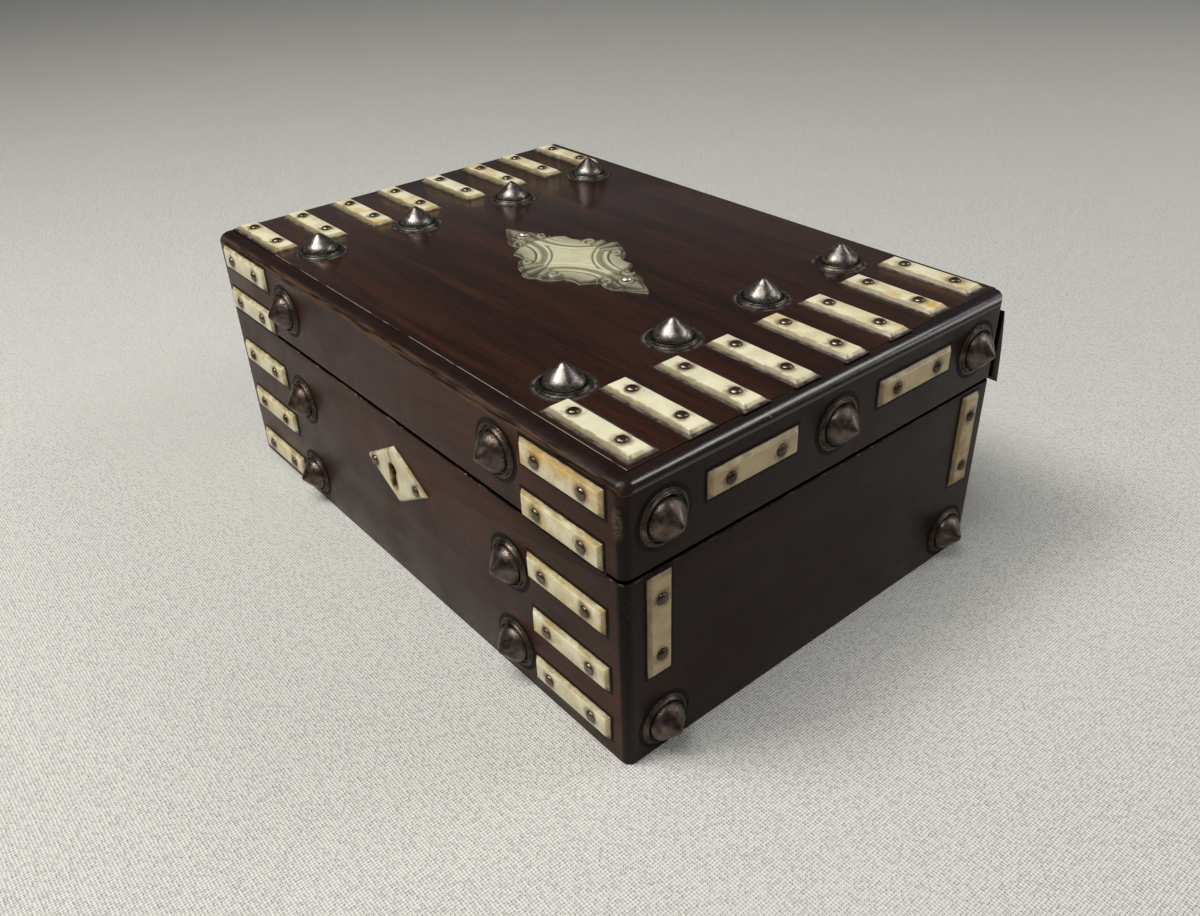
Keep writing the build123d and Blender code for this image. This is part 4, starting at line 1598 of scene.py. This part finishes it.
@dataclass
class Cartouche:
    """The carved bone lozenge on the lid."""

    lattice: float = 0.45
    quick_lattice: float = 1.2
    band_centre: tuple[float, float] = (23.6, 26.3)
    band_radius: float = 27.1
    node: str = "lid_cartouche"

    def build(self) -> None:
        """Cut the outline into small faces, and carve them."""
        low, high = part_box(self.node)
        middle = (low + high) / 2
        size = (high - low) / MM
        bm = merged_copy(self.node)
        lower = [face for face in bm.faces if face.normal.z < 0.5]
        bmesh.ops.delete(bm, geom=lower, context="FACES")
        bmesh.ops.delete(bm, geom=[vert for vert in bm.verts if not vert.link_faces], context="VERTS")
        to_middle = Matrix.Scale(1 / MM, 4) @ Matrix.Translation((-middle.x, -middle.y, -low.z))
        bmesh.ops.transform(bm, matrix=to_middle, verts=bm.verts)
        step = self.lattice
        for axis in (0, 1):
            count = int(size[axis] / step)
            normal = Vector((1, 0, 0)) if axis == 0 else Vector((0, 1, 0))
            for index in range(1, count):
                slice_through(bm, normal * (index / count - 0.5) * size[axis], normal)
        rim = [(edge.verts[0].co.to_2d(), edge.verts[1].co.to_2d()) for edge in bm.edges if edge.is_boundary]
        depth, worked = bm.verts.layers.float.new("depth"), bm.verts.layers.float.new("worked")
        raised = extrude(bm, bm.faces[:], (0, 0, 0))
        above = set(raised)
        bmesh.ops.translate(bm, vec=(0, 0, -size.z), verts=[vert for vert in bm.verts if vert not in above])
        places = np.array([vert.co[:2] for vert in raised])
        heights, cover = self.carve(places, rim)
        for vert, height, share in zip(raised, heights, cover):
            vert.co.z += height
            vert[depth] = min(1.0, -height / 1.2)
            vert[worked] = share
        bottom = [face for face in bm.faces if all(vert.co.z < 0.01 for vert in face.verts)]
        if bottom:
            bmesh.ops.dissolve_faces(bm, faces=bottom)
        close_holes(bm)
        to_place = Matrix.Translation((middle.x, middle.y, low.z)) @ Matrix.Scale(MM, 4)
        bmesh.ops.transform(bm, matrix=to_place, verts=bm.verts)
        finish_piece("lid_cartouche_carved", bm, self.node, [CarvedBone("carved_cattle_bone")], sharp=60)

    def carve(self, places: np.ndarray, rim: list[tuple[Vector, Vector]]) -> tuple[np.ndarray, np.ndarray]:
        """The depth of the carving.

        Args:
            places: Points in millimetres from the lozenge's middle.
            rim: The outline's edges.

        Returns:
            Heights below the top in millimetres, and how far each place is leaf work rather than plain.
        """
        a, b = np.abs(places[:, 0]), np.abs(places[:, 1])
        inward = self.band_radius - np.hypot(a - self.band_centre[0], b - self.band_centre[1])
        bands = self.bands(inward)
        side, side_share = self.side_leaf(a, b)
        shell, shell_share = self.shell(a, b)
        middle = bands * (1 - shell_share) + shell * shell_share
        height = middle * (1 - side_share) + side * side_share
        share = np.maximum(side_share, shell_share)
        edge = self.rim_distance(places, rim)
        bead = -0.5 * np.exp(-(((edge - 1.5) / 0.45) ** 2)) * share
        rounded = -0.55 * np.exp(-((edge / 0.55) ** 2))
        return np.clip(height + bead + rounded, -1.5, 0.0), share

    def bands(self, inward: np.ndarray) -> np.ndarray:
        """The plain middle, the two rolls that frame it, and the plain ears outside them.

        Args:
            inward: How far each place lies inside the frame's arc, in millimetres.

        Returns:
            Heights below the top in millimetres.
        """
        def groove(at: float, width: float, deep: float) -> np.ndarray:
            """A rounded line cut along the arc."""
            return -deep * np.exp(-(((inward - at) / width) ** 2))

        first = np.where((inward > 0.3) & (inward < 2.4), -0.3 * ((inward - 1.35) / 1.05) ** 2, 0.0)
        channel = np.where((inward >= 2.4) & (inward < 5.2), -0.62 + 0.3 * ((inward - 3.8) / 1.4) ** 2, 0.0)
        second = np.where((inward >= 5.2) & (inward < 7.0), -0.1 - 0.25 * ((inward - 6.1) / 0.9) ** 2, 0.0)
        ear = np.where(inward >= 7.0, -0.3 - 0.04 * (inward - 7.0), 0.0)
        return first + channel + second + ear + groove(0.3, 0.42, 0.8) + groove(2.4, 0.3, 0.4) + groove(7.0, 0.45, 0.75)

    def side_leaf(self, a: np.ndarray, b: np.ndarray) -> tuple[np.ndarray, np.ndarray]:
        """The leaf at each end, with its point, its pin's boss and its two volutes.

        Args:
            a: Distances from the middle, along.
            b: Distances from the middle, across.

        Returns:
            Heights, and the share of each place that belongs to the leaf.
        """
        share = smooth(a, 24.0, 26.5)
        ridge = -0.12 - 0.1 * b
        ribs = np.cos(2 * math.pi * (b - 0.16 * (a - 26)) / 3.4)
        veins = 0.34 * ribs * smooth(b, 0.5, 2.0) * (1 - smooth(a, 37.0, 40.0))
        boss = np.hypot(a - 34.8, b)
        height = ridge - 0.25 + veins
        height = np.where(boss < 3.1, -0.25, height - 0.6 * np.exp(-(((boss - 3.4) / 0.4) ** 2)))
        curl, within = self.volute(a, b, (28.6, 6.0), 3.9, 1)
        return height * (1 - within) + curl * within, share

    def shell(self, a: np.ndarray, b: np.ndarray) -> tuple[np.ndarray, np.ndarray]:
        """The fan at the middle of each long side, with a volute at each hand.

        Args:
            a: Distances from the middle, along.
            b: Distances from the middle, across.

        Returns:
            Heights, and the share of each place that belongs to the fan.
        """
        share = smooth(b, 13.4, 14.6) * (1 - smooth(a, 12.0, 13.6))
        angle = np.arctan2(a, b - 8.5)
        fan = -0.42 + 0.36 * np.cos(angle * 15) - 0.03 * (b - 14)
        curl, within = self.volute(a, b, (8.6, 16.6), 3.9, -1)
        return fan * (1 - within) + curl * within, share

    def volute(
        self, a: np.ndarray, b: np.ndarray, centre: tuple[float, float], radius: float, turn: int,
    ) -> tuple[np.ndarray, np.ndarray]:
        """A spiral scroll.

        Args:
            a: Distances from the middle, along.
            b: Distances from the middle, across.
            centre: The scroll's eye.
            radius: Its reach.
            turn: Which way it winds.

        Returns:
            Heights, and the share of each place that belongs to the scroll.
        """
        reach = np.hypot(a - centre[0], b - centre[1])
        angle = np.arctan2(b - centre[1], a - centre[0])
        wave = np.cos(2 * math.pi * reach / 2.5 - turn * angle)
        return -0.46 + 0.42 * wave, 1 - smooth(reach, radius - 0.5, radius)

    def rim_distance(self, places: np.ndarray, rim: list[tuple[Vector, Vector]]) -> np.ndarray:
        """The distance of each place from the outline, in millimetres.

        Args:
            places: Points in millimetres from the lozenge's middle.
            rim: The outline's edges.

        Returns:
            The distances.
        """
        nearest = np.full(len(places), 1e9)
        for start, end in rim:
            base, run = np.array(start), np.array(end) - np.array(start)
            share = np.clip((places - base) @ run / max(run @ run, 1e-12), 0, 1)
            nearest = np.minimum(nearest, np.hypot(*(places - base - share[:, None] * run).T))
        return nearest


def smooth(values: np.ndarray, low: float, high: float) -> np.ndarray:
    """A soft step from 0 to 1 between two values."""
    share = np.clip((values - low) / (high - low), 0, 1)
    return share * share * (3 - 2 * share)


@dataclass
class Escutcheon:
    """The bone diamond round the keyhole, cracked from its top edge."""

    node: str = "keyhole_escutcheon"

    def build(self) -> None:
        """Soften the diamond, and give it its own coordinates for stains."""
        low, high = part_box(self.node)
        middle = (low + high) / 2
        bm = merged_copy(self.node)
        soften(bm, sharp_edges(bm, 25), 0.2 * MM, 2)
        laid = bm.verts.layers.float_vector.new("laid")
        age = bm.verts.layers.float.new("age")
        for vert in bm.verts:
            vert[laid] = Vector((vert.co.x - middle.x, vert.co.z - middle.z, high.y - vert.co.y)) / MM
            vert[age] = 0.35
        pins = seats("escutcheon_pins")
        offset = (pins[1].middle - pins[0].middle).length / 2 / MM
        finish = CrackedBone("cracked_cattle_bone", offset, light="#d9d2b2", cool="#bcb694")
        finish_piece("keyhole_escutcheon_worn", bm, self.node, [finish])


@dataclass
class Fittings:
    """Hinges, lock, link plate and screws."""

    ease: float = 0.12 * MM

    def build(self) -> None:
        """Soften and dress the fittings."""
        brass = AgedBrass("aged_brass")
        iron = AgedSteel("aged_lock_iron", "#7d776d", "#3d342b", 0.5, 0.5, 0.45)
        for hand in ("left", "right"):
            self.soft_copy(f"hinge_{hand}_base_leaf", brass)
            self.soft_copy(f"hinge_{hand}_lid_leaf", brass)
            self.soft_copy(f"hinge_{hand}_pin", iron)
        for node in ("lock_plate", "link_plate"):
            self.soft_copy(node, brass)
        for node in ("lock_case", "lock_bolt", "lock_drill_pin"):
            self.soft_copy(node, iron)
        steel = AgedSteel("aged_screw_steel", "#8d877c", "#4a3f33", 0.45, 0.4, 0.4)
        for node in SCREWS_FACE:
            Screws().lay(f"{node}_slotted", node, [steel])

    def soft_copy(self, node: str, finish: Finish) -> None:
        """A fitting, with its sharp edges eased on the lock and link pieces.

        Args:
            node: The CAD node.
            finish: Its finish.
        """
        bm = merged_copy(node)
        if node.startswith(("lock", "link")):
            soften(bm, [edge for edge in sharp_edges(bm, 60) if edge.is_convex], self.ease, 1)
        bm.verts.layers.float_vector.new("laid")
        finish_piece(f"{node}_eased", bm, node, [finish])


@dataclass
class Studio:
    """The floor, the lights and the camera."""

    camera_place: tuple[float, float, float] = (0.3368231, -0.2575157, 0.2886072)
    yaw: float = 141.3192
    pitch: float = -32.6042
    roll: float = -2.2442
    focal_pixels: float = 1054.9302
    image_width: float = 1200.0
    sensor: float = 36.0

    def camera(self) -> None:
        """The camera where the photograph was taken."""
        yaw, pitch, roll = (math.radians(angle) for angle in (self.yaw, self.pitch, self.roll))
        ahead = Vector((math.cos(pitch) * math.cos(yaw), math.cos(pitch) * math.sin(yaw), math.sin(pitch)))
        level = Vector((math.sin(yaw), -math.cos(yaw), 0))
        upright = level.cross(ahead)
        right = math.cos(roll) * level + math.sin(roll) * upright
        up = -math.sin(roll) * level + math.cos(roll) * upright
        data = bpy.data.cameras.new("camera")
        data.sensor_width = self.sensor
        data.lens = self.sensor * self.focal_pixels / self.image_width
        data.clip_start = 0.01
        camera = bpy.data.objects.new("camera", data)
        turn = Matrix((right, up, -ahead)).transposed().to_4x4()
        camera.matrix_world = Matrix.Translation(self.camera_place) @ turn
        bpy.context.scene.collection.objects.link(camera)
        bpy.context.scene.camera = camera

    def floor(self) -> None:
        """A wide pale cloth."""
        bm = bmesh.new()
        bmesh.ops.create_grid(bm, x_segments=8, y_segments=8, size=4.0)
        mesh = bpy.data.meshes.new("floor")
        bm.to_mesh(mesh)
        bm.free()
        mesh.materials.append(PaleCloth().material())
        floor = bpy.data.objects.new("floor", mesh)
        bpy.context.scene.collection.objects.link(floor)

    def lamp(
        self, name: str, place: tuple[float, float, float], size: tuple[float, float], power: float, tint: str,
    ) -> None:
        """One soft lamp that faces the box.

        Args:
            name: Its name.
            place: Where it hangs, in metres.
            size: Its width and height in metres.
            power: Its power in watts.
            tint: Its colour.
        """
        data = bpy.data.lights.new(name, "AREA")
        data.shape = "RECTANGLE"
        data.size, data.size_y = size
        data.energy = power
        data.color = linear(tint)[:3]
        lamp = bpy.data.objects.new(name, data)
        aim = Vector((0, 0, 0.05)) - Vector(place)
        lamp.matrix_world = Matrix.Translation(place) @ aim.to_track_quat("-Z", "Y").to_matrix().to_4x4()
        bpy.context.scene.collection.objects.link(lamp)

    def lights(self) -> None:
        """A big soft source at the upper left, a window behind on the right, and a dim room."""
        self.lamp("key", (-0.34, -0.72, 1.27), (0.45, 0.45), 10.4, "#fffdf8")
        self.lamp("overhead", (0.06, -0.56, 1.39), (1.0, 0.7), 11.2, "#ffffff")
        self.lamp("window", (0.75, 0.95, 1.1), (0.8, 0.3), 4.4, "#ffffff")
        self.lamp("low_fill", (0.7, 1.22, 0.51), (0.5, 0.4), 2.2, "#fbfcff")
        world = bpy.data.worlds.new("dim_room")
        world.use_nodes = True
        room = world.node_tree.nodes["Background"]
        room.inputs["Color"].default_value = linear("#c8cacb")
        room.inputs["Strength"].default_value = 0.19
        bpy.context.scene.world = world
        bpy.context.scene.view_settings.view_transform = "Standard"

    def build(self) -> None:
        """Set up the camera, the floor and the lights."""
        self.camera()
        self.floor()
        self.lights()


@dataclass
class Trim:
    """All the laid trim of the box."""

    top_steel: AgedSteel = AgedSteel("polished_stud_steel", "#827d77", "#564b43", 0.42, 0.9, 0.29)
    side_steel: AgedSteel = AgedSteel("browned_stud_steel", "#6f645d", "#473830", 0.48, 0.9, 0.34)
    washer_steel: AgedSteel = AgedSteel("cupped_washer_steel", "#6d6761", "#37302b", 0.5, 0.5, 0.36, 1.6)
    pin_steel: AgedSteel = AgedSteel("domed_pin_steel", "#84776a", "#4e4034", 0.45, 0.4, 0.27, 0.7)
    side_washer_steel: AgedSteel = AgedSteel("browned_washer_steel", "#5f564e", "#2f2721", 0.5, 0.5, 0.38, 1.6)
    side_pin_steel: AgedSteel = AgedSteel("browned_pin_steel", "#62554a", "#3a2e26", 0.5, 0.4, 0.3, 0.7)
    rubbed_pin_steel: AgedSteel = AgedSteel("rubbed_pin_steel", "#d6c9b8", "#8a7560", 0.25, 0.2, 0.36, 0.7)
    foot_ring: WaxAndShadeBead = WaxAndShadeBead("dried_wax_studs", cover=0.36)
    # A dark copy of the wax bead: painted shade round the feet of the strips and washers on the front and ends
    foot_darkening: WaxAndShadeBead = WaxAndShadeBead("painted_shade_round_feet", "#2c231e", "#150c09", cover=0.4, gloss=0.1)

    def build(self) -> None:
        """Lay the strips, pins and studs."""
        strips = BoneStrips()
        pins = Pins()
        for part in ("lid_top", "lid_front", "base_front", "lid_side", "base_side"):
            for hand in ("left", "right"):
                # On the ends the strips' bone is painted darker as shade
                bone = strips.dull if part.endswith("side") else strips.finish
                # Off the top, the bead round each strip's foot is painted shade
                edge = strips.wax if part == "lid_top" else self.foot_darkening
                strips.lay(f"{part}_bone_{hand}", f"{part}_strips_{hand}", [bone, edge])
            pin = self.side_pin_steel if part.endswith("side") else self.pin_steel
            pins.lay(f"{part}_pin_heads", f"{part}_pins", [pin])
            # Off the top, the disc round each washer's foot is painted shade
            ring = self.foot_ring if part == "lid_top" else self.foot_darkening
            washer = self.washer_steel if part == "lid_top" else self.side_washer_steel
            StudWashers().lay(f"{part}_washers", f"{part}_stud_washers", [washer, ring])
            steel = self.top_steel if part == "lid_top" else self.side_steel
            StudCones().lay(f"{part}_cones", f"{part}_stud_cones", [steel], sharp=50)
        pins.lay("cartouche_pins_heads", "cartouche_pins", [self.rubbed_pin_steel])
        pins.lay("escutcheon_pins_heads", "escutcheon_pins", [self.pin_steel])


def main() -> None:
    """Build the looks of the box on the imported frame."""
    logging.basicConfig(level=logging.INFO, format="%(name)s: %(message)s")
    noise.seed_set(NOISE_SEED)
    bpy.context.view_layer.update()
    Studio().build()
    Carcase().build()
    Trim().build()
    Cartouche().build()
    Escutcheon().build()
    Fittings().build()


if __name__ == "__main__":
    main()
